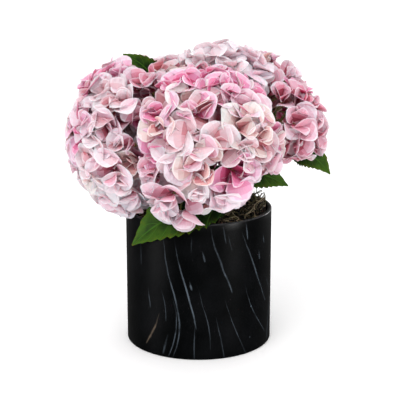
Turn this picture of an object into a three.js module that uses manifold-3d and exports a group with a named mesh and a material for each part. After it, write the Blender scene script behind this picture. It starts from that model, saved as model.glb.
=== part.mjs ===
// Potted hydrangea arrangement: six mophead blooms of cloth petals and ten leaves on one
// forked stem, held in a block of foam under curly moss, in a straight round pot.
// Millimetres, +Z up. The origin is the centre of the pot's flat underside, -Y is the front.

import * as THREE from 'three';
import { mergeVertices } from 'three/addons/utils/BufferGeometryUtils.js';
import Module from 'manifold-3d';

const wasm = await Module();
wasm.setup();

// ---------------------------------------------------------------- driving dimensions

const GAP = 0.3; // between two parts that meet
const CLEAR = 0.5; // what petals keep from stems, leaves, moss and pot

const POT = { radius: 75, height: 140, wall: 4, floor: 6, edge: 1.5, sides: 48 };
const FOAM = { top: 112 };
const MOSS = { edge: 126, crown: 133, lump: 3, sides: 16, strands: 16, thickness: 1.6 };
const TRUNK = { foot: 50, top: 156, lean: 5, footRadius: 7.5, topRadius: 5.5 };
const BOUGH = { rootRadius: 3.6, tipRadius: 2.5, stub: 12, entry: 0.62 };

// A bloom is the ball that its petal tips reach. Its florets look along faces and spread as
// far as opening, in degrees, from it. fork is how high its bough leaves the trunk.
const BLOOMS = [
  { name: 'front', centre: [5, -50, 214], radius: 78, faces: [0, -0.66, 0.75], opening: 120,
    fork: 148, turn: 0.45 },
  { name: 'left', centre: [-50, -5, 212], radius: 83, faces: [-0.66, -0.22, 0.72], opening: 122,
    fork: 143, turn: 1.9 },
  { name: 'top', centre: [23, 20, 241], radius: 65, faces: [0.1, -0.15, 0.98], opening: 112,
    fork: TRUNK.top, turn: 3.1 },
  { name: 'right', centre: [77, 6, 219], radius: 54, faces: [0.45, -0.25, 0.86], opening: 102,
    fork: 144, turn: 4.4 },
  { name: 'back_left', centre: [-22, 54, 222], radius: 66, faces: [-0.25, 0.5, 0.83], opening: 118,
    fork: 149, turn: 5.2 },
  { name: 'back_right', centre: [62, 50, 238], radius: 54, faces: [0.4, 0.45, 0.8], opening: 114,
    fork: 152, turn: 0.9 },
];
const CROWN = { core: 0.5, coreSides: 7, scatter: 0.12 };
const FLORET = { area: 1280, rise: 16, uneven: 5, elbow: 9, pedicelFoot: 1.4, pedicelHead: 3 };
const PETAL = { length: 29, width: 34, thickness: 1.3, claw: 0.2, bend: 0.18, cup: 0.2 };
// How steeply petals rise, in degrees, and how much more where they are crowded.
const SPREAD = { low: 24, high: 44, uneven: 10, crowded: [0, 18, 36] };

// A leaf runs from base over mid to tip and looks towards face. A larger full sets its widest
// place nearer to the tip. on and at say which bough carries it, and how far along.
const LEAVES = [
  { name: 'front_low', base: [34, -48, 154], mid: [-18, -66, 150], tip: [-66, -60, 115],
    face: [-0.14, -0.7, 0.7], width: 56, full: 0.85, on: 'front', at: 0.3 },
  { name: 'right_low', base: [36, -34, 184], mid: [60, -34, 182], tip: [90, -25, 167],
    face: [0.1, -0.75, 0.62], width: 36, full: 0.75, on: 'right', at: 0.42 },
  { name: 'right', base: [88, 20, 193], mid: [112, 22, 191], tip: [137, 22, 168],
    face: [0.3, -0.78, 0.55], width: 38, full: 0.85, on: 'right', at: 0.72 },
  { name: 'top_left', base: [-36, 12, 252], mid: [-52, 6, 280], tip: [-76, 3, 296],
    face: [-0.1, -0.8, 0.55], width: 27, full: 0.6, on: 'back_left', at: 0.6 },
  { name: 'right_gap', base: [56, -22, 205], mid: [67, -10, 224], tip: [70, -6, 246],
    face: [0.5, -0.86, 0.1], width: 30, full: 0.7, on: 'right', at: 0.6 },
  { name: 'left_low', base: [-42, 18, 170], mid: [-64, 38, 166], tip: [-82, 56, 146],
    face: [-0.5, 0.2, 0.84], width: 48, full: 0.7, on: 'left', at: 0.5 },
  { name: 'back_left_low', base: [-22, 58, 168], mid: [-36, 86, 162], tip: [-46, 112, 142],
    face: [-0.2, 0.4, 0.9], width: 52, full: 0.7, on: 'back_left', at: 0.5 },
  { name: 'back_low', base: [14, 62, 166], mid: [18, 92, 158], tip: [14, 118, 132],
    face: [0.1, 0.5, 0.85], width: 52, full: 0.7, on: 'back_right', at: 0.45 },
  { name: 'back_right_low', base: [46, 50, 172], mid: [62, 72, 164], tip: [72, 96, 142],
    face: [0.4, 0.4, 0.82], width: 50, full: 0.7, on: 'right', at: 0.55 },
  { name: 'back_gap', base: [-6, 70, 226], mid: [-12, 92, 248], tip: [-10, 108, 270],
    face: [0.1, 0.92, 0.3], width: 34, full: 0.7, on: 'back_right', at: 0.7 },
];
const BLADE = { stations: 7, thickness: 1.4, edge: 0.5, fold: 0.22, teeth: 0.07, petiole: 1.6 };

const COLOURS = {
  pot: 0x15161a,
  foam: 0x4a5a34,
  moss: 0x3a2e22,
  stem: 0x6f7f3f,
  petal: 0xecc3d0,
  leaf: 0x3f6b28,
};

// ---------------------------------------------------------------- helpers

const UP = new THREE.Vector3(0, 0, 1);
const ACROSS = new THREE.Vector3(1, 0, 0);
const GOLDEN_ANGLE = Math.PI * (3 - Math.sqrt(5));

/** A vector from its three numbers. */
function at([x, y, z]) {
  return new THREE.Vector3(x, y, z);
}

/** A repeatable number from 0 to 1 for item i and use k. */
function chance(i, k) {
  const wave = Math.sin(i * 12.9898 + k * 78.233) * 43758.5453;
  return wave - Math.floor(wave);
}

/** The same, spread evenly about 0 from -half to +half. */
function spread(i, k, half) {
  return (2 * chance(i, k) - 1) * half;
}

/** Two directions square to a unit vector and to each other. */
function squareTo(normal) {
  const guide = Math.abs(normal.z) < 0.9 ? UP : ACROSS;
  const first = new THREE.Vector3().crossVectors(guide, normal).normalize();
  return [first, new THREE.Vector3().crossVectors(normal, first)];
}

/** Move each vertex of a geometry to where place() puts it. */
function warp(geometry, place) {
  const position = geometry.attributes.position;
  for (let i = 0; i < position.count; i += 1) {
    const moved = place(new THREE.Vector3().fromBufferAttribute(position, i));
    position.setXYZ(i, moved.x, moved.y, moved.z);
  }
  return geometry;
}

/** A closed three.js geometry as a solid that can be joined and cut. */
function solid(geometry) {
  geometry.deleteAttribute('normal');
  geometry.deleteAttribute('uv');
  const merged = mergeVertices(geometry, 1e-4);
  const corners = [];
  for (let i = 0; i < merged.index.count; i += 3) {
    const [a, b, c] = merged.index.array.slice(i, i + 3);
    if (a !== b && b !== c && c !== a) corners.push(a, b, c);
  }
  return new wasm.Manifold(new wasm.Mesh({
    numProp: 3,
    vertProperties: merged.attributes.position.array,
    triVerts: new Uint32Array(corners),
  }));
}

/** Join solids into one, with loose scraps dropped and sealed hollows filled. */
function fuse(solids) {
  const bodies = wasm.Manifold.union(solids).decompose();
  return bodies.reduce((best, body) => (body.volume() > best.volume() ? body : best));
}

/** A named mesh of a solid in a plain colour. */
function part(name, body, colour, roughness) {
  const { vertProperties, triVerts } = body.getMesh();
  const geometry = new THREE.BufferGeometry();
  geometry.setAttribute('position', new THREE.BufferAttribute(vertProperties, 3));
  geometry.setIndex(new THREE.BufferAttribute(triVerts, 1));
  geometry.computeVertexNormals();
  const material = new THREE.MeshStandardMaterial({ color: colour, roughness, metalness: 0 });
  const mesh = new THREE.Mesh(geometry, material);
  mesh.name = name;
  return mesh;
}

/** A round limb that tapers along a curve: a cylinder whose rings ride on the curve. */
function limb(curve, rootRadius, tipRadius, sides, steps) {
  const frames = curve.computeFrenetFrames(steps, false);
  const cylinder = new THREE.CylinderGeometry(tipRadius, rootRadius, 1, sides, steps);
  return solid(warp(cylinder, (point) => {
    const step = Math.round((point.y + 0.5) * steps);
    return curve.getPointAt(step / steps)
      .addScaledVector(frames.normals[step], point.x)
      .addScaledVector(frames.binormals[step], -point.z);
  }));
}

/** A solid turned about Z from a profile of [radius, height] points. */
function turned(profile, sides) {
  const lathe = new THREE.LatheGeometry(profile.map(([r, z]) => new THREE.Vector2(r, z)), sides);
  return lathe.rotateX(Math.PI / 2);
}

// ---------------------------------------------------------------- pot, foam and moss

/** The straight pot: a flat underside, a rounded lower edge and a square rim. */
function potBody(grow = 0) {
  const outer = POT.radius + grow;
  const inner = POT.radius - POT.wall - grow;
  const top = POT.height + grow;
  const corner = [30, 60].map((angle) => {
    const turn = THREE.MathUtils.degToRad(angle);
    const middle = outer - POT.edge;
    return [middle + POT.edge * Math.sin(turn), POT.edge * (1 - Math.cos(turn))];
  });
  return solid(turned([
    [0, 0], [outer - POT.edge, 0], ...corner, [outer, POT.edge],
    [outer, top], [inner, top], [inner, POT.floor], [0, POT.floor],
  ], POT.sides));
}

/** The foam block that fills the pot and grips the stem. */
function foamBody(stem) {
  const radius = POT.radius - POT.wall - GAP;
  const bottom = POT.floor + GAP;
  const block = turned([[0, bottom], [radius, bottom], [radius, FOAM.top], [0, FOAM.top]], POT.sides);
  return solid(block).subtract(stem);
}

/** The moss mat, domed and lumpy on top, before its strands are laid on. */
function mossMat() {
  const radius = POT.radius - POT.wall - 2 * GAP;
  const bottom = FOAM.top + GAP;
  const domed = (share) => MOSS.edge + (MOSS.crown - MOSS.edge) * (1 - share * share);
  const rings = [1, 0.78, 0.52, 0.26, 0].map((share) => [radius * share, domed(share)]);
  const mat = turned([[0, bottom], [radius, bottom], ...rings], MOSS.sides);
  return solid(warp(mat, (point) => {
    const place = Math.round(point.x) + 7 * Math.round(point.y);
    if (point.z > bottom + 1) point.z += spread(place, 3, MOSS.lump);
    return point;
  }));
}

/** One curly strand: it leaves the mat, loops over and dives back, or stands free. */
function mossStrand(index, thickness) {
  const free = index % 5 === 0;
  const around = free ? 0.15 + 1.1 * chance(index, 1) : index * GOLDEN_ANGLE;
  const out = free ? 54 + 6 * chance(index, 2) : 24 + 36 * Math.sqrt(chance(index, 2));
  const from = at([out * Math.cos(around), out * Math.sin(around), MOSS.edge - 2]);
  const heading = around + Math.PI / 2 + spread(index, 4, 1.2);
  const run = new THREE.Vector3(Math.cos(heading), Math.sin(heading), 0);
  const height = free ? 22 + 8 * chance(index, 5) : 12 + 6 * chance(index, 5);
  const over = from.clone().addScaledVector(run, 5).addScaledVector(UP, height);
  const beyond = from.clone().addScaledVector(run, free ? 13 : 15);
  beyond.z += free ? height * 0.75 : 2;
  const inside = new THREE.Vector3(beyond.x, beyond.y, 0).length();
  if (!free && inside > 66) return null;
  const path = new THREE.QuadraticBezierCurve3(from, over, beyond);
  return limb(path, thickness, thickness * 0.7, 3, 4);
}

/** Moss mat and strands in one piece, cut clear of the pot and the stems. */
function mossBody(stems, grow = 0) {
  const strands = [...Array(MOSS.strands).keys()]
    .map((index) => mossStrand(index, MOSS.thickness + grow))
    .filter((strand) => strand !== null);
  const mat = fuse([mossMat().translate([0, 0, grow]), ...strands]);
  return fuse([mat.subtract(potBody(GAP)).subtract(stems)]);
}

// ---------------------------------------------------------------- trunk and boughs

/** The trunk's line, with a slight lean to the back. */
const trunkLine = new THREE.QuadraticBezierCurve3(
  at([0, 0, TRUNK.foot]),
  at([0, 0, (TRUNK.foot + TRUNK.top) / 2]),
  at([0, TRUNK.lean, TRUNK.top]),
);

/** The trunk, grown on all sides by some clearance. */
function trunkBody(grow = 0) {
  return limb(trunkLine, TRUNK.footRadius + grow, TRUNK.topRadius + grow, 10, 5);
}

/** The way a bloom faces, as a unit vector. */
function facing(bloom) {
  return at(bloom.faces).normalize();
}

/** Where a bloom's bough ends, just inside the ball of petals. */
function entryPoint(bloom) {
  return at(bloom.centre).addScaledVector(facing(bloom), -BOUGH.entry * bloom.radius);
}

/** A line that leaves its parent square to it, gap clear, and runs on to a target. */
function offshoot(parentLine, along, parentRadius, target, arrival) {
  const from = parentLine.getPointAt(along);
  const side = target.clone().sub(from).projectOnPlane(parentLine.getTangentAt(along)).normalize();
  const start = from.addScaledVector(side, parentRadius + GAP);
  const reach = start.distanceTo(target) * 0.35;
  return new THREE.CubicBezierCurve3(
    start,
    start.clone().addScaledVector(side, Math.min(reach, BOUGH.stub)),
    target.clone().addScaledVector(arrival, -reach),
    target,
  );
}

/** A bough's line from the trunk to its bloom. The top bough grows on from the trunk's tip. */
function boughLine(bloom) {
  const target = entryPoint(bloom);
  if (bloom.fork < TRUNK.top) {
    const along = (bloom.fork - TRUNK.foot) / (TRUNK.top - TRUNK.foot);
    const radius = THREE.MathUtils.lerp(TRUNK.footRadius, TRUNK.topRadius, along);
    return offshoot(trunkLine, along, radius, target, facing(bloom));
  }
  const rise = trunkLine.getTangentAt(1);
  const start = trunkLine.getPointAt(1).addScaledVector(rise, GAP);
  return new THREE.CubicBezierCurve3(
    start,
    start.clone().addScaledVector(rise, BOUGH.stub),
    target.clone().addScaledVector(facing(bloom), -BOUGH.stub),
    target,
  );
}

/** A bough's radius some way along it. */
function boughRadius(along) {
  return THREE.MathUtils.lerp(BOUGH.rootRadius, BOUGH.tipRadius, along);
}

const boughLines = new Map(BLOOMS.map((bloom) => [bloom.name, boughLine(bloom)]));

/** A bough, grown on all sides by some clearance. */
function boughBody(bloom, grow = 0) {
  const line = boughLines.get(bloom.name);
  return limb(line, BOUGH.rootRadius + grow, BOUGH.tipRadius + grow, 6, 6);
}

// ---------------------------------------------------------------- leaves

/** A toothed blade folded along its midrib, and the petiole that carries it. */
function leafBody(leaf, grow = 0) {
  const [base, mid, tip] = [leaf.base, leaf.mid, leaf.tip].map(at);
  const bendAt = mid.clone().multiplyScalar(2).addScaledVector(base, -0.5).addScaledVector(tip, -0.5);
  const midrib = new THREE.QuadraticBezierCurve3(base, bendAt, tip);
  const look = at(leaf.face);
  const grid = new THREE.BoxGeometry(1, 1, 1, BLADE.stations, 1, 2);
  const blade = solid(warp(grid, (point) => {
    const along = point.x + 0.5;
    const station = Math.round(along * BLADE.stations);
    const tangent = midrib.getTangent(along);
    const face = look.clone().projectOnPlane(tangent).normalize();
    const side = new THREE.Vector3().crossVectors(tangent, face);
    const swell = Math.sin(Math.PI * along ** leaf.full) ** 1.05;
    const tooth = 1 + (station % 2 ? BLADE.teeth : -BLADE.teeth);
    const across = 2 * point.z * (leaf.width / 2 * swell * tooth + 0.8 + grow);
    const thick = Math.abs(point.z) > 0.1 ? BLADE.edge : BLADE.thickness;
    return midrib.getPoint(along)
      .addScaledVector(side, across)
      .addScaledVector(face, Math.abs(across) * BLADE.fold + point.y * (thick + 2 * grow));
  }));
  const parent = boughLines.get(leaf.on);
  const joint = midrib.getPoint(0.06);
  const stalk = offshoot(parent, leaf.at, boughRadius(leaf.at), joint, midrib.getTangent(0));
  const petiole = limb(stalk, BLADE.petiole + grow, BLADE.petiole * 0.7 + grow, 3, 5);
  return fuse([blade, petiole]);
}

// ---------------------------------------------------------------- blooms

/** The neighbour whose side is nearest to a point: the way to it, and how far off it begins. */
function neighbour(point, bloom) {
  const power = (ball) => point.distanceToSquared(at(ball.centre)) - ball.radius ** 2;
  const sides = BLOOMS.filter((other) => other !== bloom).map((other) => {
    const way = at(other.centre).sub(at(bloom.centre));
    return { distance: (power(other) - power(bloom)) / (2 * way.length()), way: way.normalize() };
  });
  return sides.reduce((nearest, side) => (side.distance < nearest.distance ? side : nearest));
}

/** How far a point lies inside a bloom's own space, which flat planes part from the others. */
function room(point, bloom) {
  return neighbour(point, bloom).distance;
}

/** The core that the florets stand out of, drawn in wherever a neighbour is close. */
function coreBody(bloom) {
  const centre = at(bloom.centre);
  const ball = new THREE.SphereGeometry(1, BLOOMS.length + 4, CROWN.coreSides);
  return solid(warp(ball, (direction) => {
    let reach = CROWN.core * bloom.radius;
    const outer = () => centre.clone().addScaledVector(direction, reach);
    while (room(outer(), bloom) < 1.5) reach -= 0.5;
    return outer();
  }));
}

/** One petal: a thin lens of six corners, cupped across and bent outwards along its length. */
function petalShape(root, normal, heading, elevation) {
  const along = heading.clone().multiplyScalar(Math.cos(elevation))
    .addScaledVector(normal, Math.sin(elevation));
  const inward = heading.clone().multiplyScalar(-Math.sin(elevation))
    .addScaledVector(normal, Math.cos(elevation));
  const side = new THREE.Vector3().crossVectors(along, inward);
  const half = PETAL.width / 2;
  return warp(new THREE.SphereGeometry(1, 6, 2), (point) => {
    const share = (1 + point.x) / 2;
    const narrowed = THREE.MathUtils.lerp(PETAL.claw, 1, THREE.MathUtils.smoothstep(share, 0, 0.7));
    const across = point.z * narrowed * half;
    const height = PETAL.cup * across ** 2 / half - PETAL.bend * PETAL.length * share ** 2;
    return root.clone()
      .addScaledVector(along, PETAL.length * share)
      .addScaledVector(side, across)
      .addScaledVector(inward, height + point.y * PETAL.thickness / 2);
  });
}

/** True where all of a shape keeps to the bloom's space. */
function keepsIn(shape, bloom) {
  const position = shape.attributes.position;
  for (let i = 0; i < position.count; i += 1) {
    if (room(new THREE.Vector3().fromBufferAttribute(position, i), bloom) < CLEAR) return false;
  }
  return true;
}

/** A floret: a three-sided pedicel from the core and four petals in two crossed pairs. */
function floretBodies(bloom, index, count, obstacles) {
  const seed = index + 100 * bloom.turn;
  const axis = facing(bloom);
  const [first, second] = squareTo(axis);
  const opening = THREE.MathUtils.degToRad(bloom.opening);
  const level = 1 - (1 - Math.cos(opening)) * (index + 0.5) / count;
  const ring = Math.sqrt(1 - level * level);
  const turn = index * GOLDEN_ANGLE + bloom.turn;
  const out = axis.multiplyScalar(level)
    .addScaledVector(first, ring * Math.cos(turn) + spread(seed, 1, CROWN.scatter))
    .addScaledVector(second, ring * Math.sin(turn) + spread(seed, 2, CROWN.scatter))
    .normalize();
  let depth = bloom.radius - FLORET.rise + spread(seed, 3, FLORET.uneven / 2);
  const rootAt = () => at(bloom.centre).addScaledVector(out, depth);
  const shallowest = CROWN.core * bloom.radius;
  while (depth > shallowest && room(rootAt(), bloom) < FLORET.elbow) depth -= 1;
  if (depth <= shallowest) return [];
  const root = rootAt();
  const side = neighbour(root.clone().addScaledVector(out, PETAL.length), bloom);
  const crowding = THREE.MathUtils.clamp(1 - side.distance / PETAL.length, 0, 1);
  const face = out.clone().addScaledVector(side.way, -crowding * out.dot(side.way)).normalize();
  const [east, north] = squareTo(face);
  const petals = [0, 1, 2, 3].flatMap((quarter) => {
    const heading = (chance(seed, 4) + quarter) * Math.PI / 2 + spread(seed + quarter, 5, 0.14);
    const steep = quarter % 2 ? SPREAD.high : SPREAD.low;
    const towards = east.clone().multiplyScalar(Math.cos(heading))
      .addScaledVector(north, Math.sin(heading));
    return SPREAD.crowded
      .map((lift) => steep + spread(seed + quarter, 6, SPREAD.uneven) + lift)
      .map((rise) => petalShape(root, face, towards, THREE.MathUtils.degToRad(rise)))
      .filter((shape) => keepsIn(shape, bloom))
      .map(solid)
      .filter((body) => body.intersect(obstacles).isEmpty())
      .slice(0, 1);
  });
  if (petals.length === 0) return [];
  const foot = at(bloom.centre).addScaledVector(out, 0.25 * bloom.radius);
  const head = root.clone().addScaledVector(out, 1);
  const stalk = new THREE.LineCurve3(foot, head);
  const pedicel = limb(stalk, FLORET.pedicelFoot, FLORET.pedicelHead, 3, 1);
  return pedicel.intersect(obstacles).isEmpty() ? [pedicel, ...petals] : [];
}

/** A whole bloom: short stem, core and florets in one piece. */
function bloomBody(bloom, obstacles) {
  const start = entryPoint(bloom).addScaledVector(facing(bloom), GAP);
  const stemLine = new THREE.LineCurve3(start, at(bloom.centre));
  const stem = limb(stemLine, BOUGH.tipRadius, BOUGH.tipRadius, 5, 1);
  const opening = THREE.MathUtils.degToRad(bloom.opening);
  const cap = 2 * Math.PI * (1 - Math.cos(opening)) * (bloom.radius - FLORET.rise) ** 2;
  const count = Math.round(cap / FLORET.area);
  const florets = [...Array(count).keys()]
    .flatMap((index) => floretBodies(bloom, index, count, obstacles));
  return fuse([coreBody(bloom).subtract(obstacles), stem, ...florets]);
}

// ---------------------------------------------------------------- the whole arrangement

const arrangement = new THREE.Group();

const stems = fuse([trunkBody(GAP)]);
const moss = mossBody(stems);
arrangement.add(part('pot', potBody(), COLOURS.pot, 0.4));
arrangement.add(part('foam', foamBody(stems), COLOURS.foam, 1));
arrangement.add(part('moss', moss, COLOURS.moss, 1));
arrangement.add(part('trunk', trunkBody(), COLOURS.stem, 0.7));

for (const bloom of BLOOMS) {
  arrangement.add(part(`bough_${bloom.name}`, boughBody(bloom), COLOURS.stem, 0.7));
}
for (const leaf of LEAVES) {
  arrangement.add(part(`leaf_${leaf.name}`, leafBody(leaf), COLOURS.leaf, 0.6));
}

const obstacles = wasm.Manifold.union([
  potBody(CLEAR),
  mossBody(stems, CLEAR),
  ...BLOOMS.map((bloom) => boughBody(bloom, CLEAR - GAP)),
  ...LEAVES.map((leaf) => leafBody(leaf, CLEAR)),
]);
for (const bloom of BLOOMS) {
  arrangement.add(part(`bloom_${bloom.name}`, bloomBody(bloom, obstacles), COLOURS.petal, 0.9));
}

export default arrangement;
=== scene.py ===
# %% [markdown]
# # A potted hydrangea arrangement
# Cloth mophead blooms and cloth leaves stand on one forked plastic stem, in a block of foam
# under curly moss, in a straight pot glazed like black marble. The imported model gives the
# frame: where the pot stands, where each bough runs and how far each bloom reaches. Each step
# below grows the fine version of one kind of part inside that frame, as whole numpy arrays.

# %% The frame
import math

import bpy
import numpy as np
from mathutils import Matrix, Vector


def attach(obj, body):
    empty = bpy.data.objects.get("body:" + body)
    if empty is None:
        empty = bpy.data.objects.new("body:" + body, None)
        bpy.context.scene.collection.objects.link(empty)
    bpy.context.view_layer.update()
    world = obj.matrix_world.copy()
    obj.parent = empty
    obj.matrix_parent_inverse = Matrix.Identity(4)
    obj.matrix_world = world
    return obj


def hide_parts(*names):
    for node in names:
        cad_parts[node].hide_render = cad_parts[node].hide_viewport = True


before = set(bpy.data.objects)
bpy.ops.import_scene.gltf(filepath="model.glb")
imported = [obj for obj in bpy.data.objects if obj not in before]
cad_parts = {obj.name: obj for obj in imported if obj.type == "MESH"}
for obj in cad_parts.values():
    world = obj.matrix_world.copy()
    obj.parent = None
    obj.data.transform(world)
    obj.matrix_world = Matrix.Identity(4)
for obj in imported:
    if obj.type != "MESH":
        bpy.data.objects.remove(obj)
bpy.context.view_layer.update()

# %% [markdown]
# ## Small tools
# Shapes are worked out in millimetres, and only the mesh builder turns them into metres.
# Chance is a sine, not a random generator, so every run grows the same plant, and it is the
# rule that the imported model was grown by.

# %% Numbers and directions
MM = 0.001
GAP = 0.3  # mm between two parts that meet
GOLDEN_ANGLE = math.pi * (3 - math.sqrt(5))
TURN = 6.28  # about one full turn, for waves that start anywhere
CHANCE = {"item": 12.9898, "use": 78.233, "height": 43758.5453}
NEARLY_UPRIGHT = 0.9  # the height of a unit vector from which X is its guide
CURVE_SAMPLES = 400


def chance(item, use):
    """A repeatable number from 0 to 1: the fraction of a very tall sine, 43758.5453
    sin(12.9898 item + 78.233 use)."""
    wave = np.sin(np.asarray(item) * CHANCE["item"] + use * CHANCE["use"]) * CHANCE["height"]
    return wave - np.floor(wave)


def spread(item, use, half):
    """Chance spread evenly about 0, from -half to +half."""
    return (2 * chance(item, use) - 1) * half


def between(bounds, share):
    """The least of a range and a share of what may come on top of it."""
    return bounds[0] + bounds[1] * share


def unit(vectors):
    """Vectors divided by their own length."""
    return vectors / np.linalg.norm(vectors, axis=-1, keepdims=True)


def dot(a, b):
    """Sum of products over the last axis, which is kept."""
    return np.sum(a * b, axis=-1, keepdims=True)


def smoothstep(value, low, high):
    """0 below low, 1 above high, and 3 s^2 - 2 s^3 of the share s between them."""
    share = np.clip((value - low) / (high - low), 0, 1)
    return share * share * (3 - 2 * share)


def square_to(normals):
    """Two directions square to each unit vector: guide x normal, and normal x that. The guide is
    Z, or X where the vector is nearly upright."""
    upright = np.abs(normals[..., 2:]) >= NEARLY_UPRIGHT
    guide = np.where(upright, [1.0, 0.0, 0.0], [0.0, 0.0, 1.0])
    first = unit(np.cross(guide, normals))
    return first, np.cross(normals, first)


# %% Curves
def bezier(controls, share):
    """Points of a Bezier curve: each control times its Bernstein weight
    C(n, i) s^i (1 - s)^(n - i), added up. Controls are (..., n + 1, 3), share is (m,)."""
    controls = np.asarray(controls, float)
    degree = controls.shape[-2] - 1
    index = np.arange(degree + 1)
    choose = np.array([math.comb(degree, i) for i in index])
    s = np.asarray(share, float)[:, None]
    return (choose * s ** index * (1 - s) ** (degree - index)) @ controls


def at_length(line, share):
    """The point and the direction at a share of a curve's length, from many samples of it."""
    samples = bezier(line, np.linspace(0, 1, CURVE_SAMPLES))
    steps = np.diff(samples, axis=0)
    reached = np.append(0, np.cumsum(np.linalg.norm(steps, axis=1)))
    goal = share * reached[-1]
    point = np.array([np.interp(goal, reached, samples[:, axis]) for axis in range(3)])
    return point, unit(steps[min(np.searchsorted(reached, goal), len(steps) - 1)])


# %% [markdown]
# ## Meshes
# Two forms make nearly everything here. A tube is a ring of points carried along a path: stems,
# stalks, moss strands and floret centres. A sheet is a thin closed skin: one grid for its upper
# side and one for its lower side, which share the rim, so a petal or a leaf is a true solid
# with a crisp edge. Both are made for many copies at once.

# %% Mesh builder
def make_piece(name, points, faces, materials, kinds=None, uv=None, rim=None):
    """Points in mm and a list of (n, k) index arrays become a smooth mesh in metres. Kinds deals
    the materials to the faces, uv places each point in the plane, and rim marks the points of
    an edge that stays sharp."""
    mesh = bpy.data.meshes.new(name)
    sizes = np.concatenate([np.full(len(group), group.shape[1]) for group in faces])
    corners = np.concatenate([group.ravel() for group in faces]).astype(np.int32)
    mesh.vertices.add(len(points))
    mesh.vertices.foreach_set("co", (np.asarray(points) * MM).astype(np.float32).ravel())
    mesh.loops.add(len(corners))
    mesh.loops.foreach_set("vertex_index", corners)
    mesh.polygons.add(len(sizes))
    mesh.polygons.foreach_set("loop_start", (np.cumsum(sizes) - sizes).astype(np.int32))
    for material in materials:
        mesh.materials.append(material)
    if kinds is not None:
        mesh.polygons.foreach_set("material_index", kinds.astype(np.int32))
    mesh.update(calc_edges=True)
    mesh.shade_smooth()
    if uv is not None:
        layer = mesh.uv_layers.new(name="UVMap")
        layer.data.foreach_set("uv", uv[corners].astype(np.float32).ravel())
    if rim is not None:
        ends = np.empty(2 * len(mesh.edges), np.int32)
        mesh.edges.foreach_get("vertices", ends)
        sharp = mesh.attributes.new("sharp_edge", "BOOLEAN", "EDGE")
        sharp.data.foreach_set("value", rim[ends.reshape(-1, 2)].all(axis=1))
    piece = bpy.data.objects.new(name, mesh)
    bpy.context.scene.collection.objects.link(piece)
    return piece


def dress(piece, slot, *nodes):
    """The piece rides on the one body and stands for CAD nodes, which it hides. Its slot is not
    used.
    """
    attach(piece, "root")
    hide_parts(*nodes)
    print(f"{piece.name}: {len(piece.data.polygons)} faces for {', '.join(nodes)}")


def join(parts):
    """Several parts as one: each part's face indices are shifted by the points before it."""
    cloud, groups, before = [], [], 0
    for points, faces in parts:
        cloud.append(points)
        groups += [group + before for group in faces]
        before += len(points)
    return np.concatenate(cloud), groups


# %% Tubes
def tubes(paths, radii, sides):
    """Closed tubes along many paths (count, rings, 3). Each ring is path + radius (cos a N +
    sin a B). N is the direction that the path turns in least, squared to it, so the ring never
    twists, and B is path x N. Returns points, quads and the two caps' polygons."""
    paths = np.asarray(paths, float)
    count, rings, _ = paths.shape
    run = unit(np.gradient(paths, axis=1))
    _, axes = np.linalg.eigh(np.einsum("cri,crj->cij", run, run))
    least = axes[:, None, :, 0]
    normal = unit(least - dot(least, run) * run)
    other = np.cross(run, normal)
    angle = np.linspace(0, 2 * np.pi, sides, endpoint=False)[:, None]
    ring = np.cos(angle) * normal[:, :, None] + np.sin(angle) * other[:, :, None]
    points = paths[:, :, None] + np.broadcast_to(radii, (count, rings))[..., None, None] * ring
    index = np.arange(count * rings * sides).reshape(count, rings, sides)
    turned = np.roll(index, -1, axis=2)
    quads = np.stack([index[:, :-1], turned[:, :-1], turned[:, 1:], index[:, 1:]], -1)
    caps = np.concatenate([index[:, 0, ::-1], index[:, -1]])
    return points.reshape(-1, 3), [quads.reshape(-1, 4), caps]


# %% Sheets
def sheet_faces(count, rows, columns):
    """Quads of many thin closed sheets. A sheet's points are the upper grid row by row, then
    the inside of the lower grid: the rim is shared. Faces come as (count, side, cell, 4)."""
    upper = np.arange(rows * columns).reshape(rows, columns)
    lower = upper.copy()
    inside = (rows - 2) * (columns - 2)
    lower[1:-1, 1:-1] = rows * columns + np.arange(inside).reshape(rows - 2, columns - 2)
    top, bottom = (
        np.stack([g[:-1, :-1], g[:-1, 1:], g[1:, 1:], g[1:, :-1]], -1).reshape(-1, 4)
        for g in (upper, lower)
    )
    one = np.stack([top, bottom[:, ::-1]])
    stride = rows * columns + inside
    return one + stride * np.arange(count)[:, None, None, None]


def sheet_points(middle, offset):
    """Both sides of many sheets: middle + offset, and the inside of middle - offset. Arrays are
    (count, rows, columns, ...)."""
    count, size = len(middle), middle.shape[-1]
    lower = (middle - offset)[:, 1:-1, 1:-1]
    parts = [(middle + offset).reshape(count, -1, size), lower.reshape(count, -1, size)]
    return np.concatenate(parts, axis=1)


def sheet_rim(count, rows, columns):
    """True at each sheet point that lies on the rim."""
    rim = np.ones((rows, columns), bool)
    rim[1:-1, 1:-1] = False
    one = np.append(rim.ravel(), np.zeros((rows - 2) * (columns - 2), bool))
    return np.tile(one, count)


# %% [markdown]
# ## Colour and nodes
# Colours are written as on a paint chart, in sRGB, and turned to the linear values that the
# renderer works in. One function adds any node with its settings and links.

# %% Colour and node helpers
def linear(colour):
    """An sRGB hex colour as linear RGBA. A channel c becomes c / 12.92 up to 0.04045, and
    ((c + 0.055) / 1.055)^2.4 above that."""
    channels = np.array([int(colour[i:i + 2], 16) for i in (1, 3, 5)]) / 255
    bright = ((channels + 0.055) / 1.055) ** 2.4
    return (*np.where(channels <= 0.04045, channels / 12.92, bright), 1.0)


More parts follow.
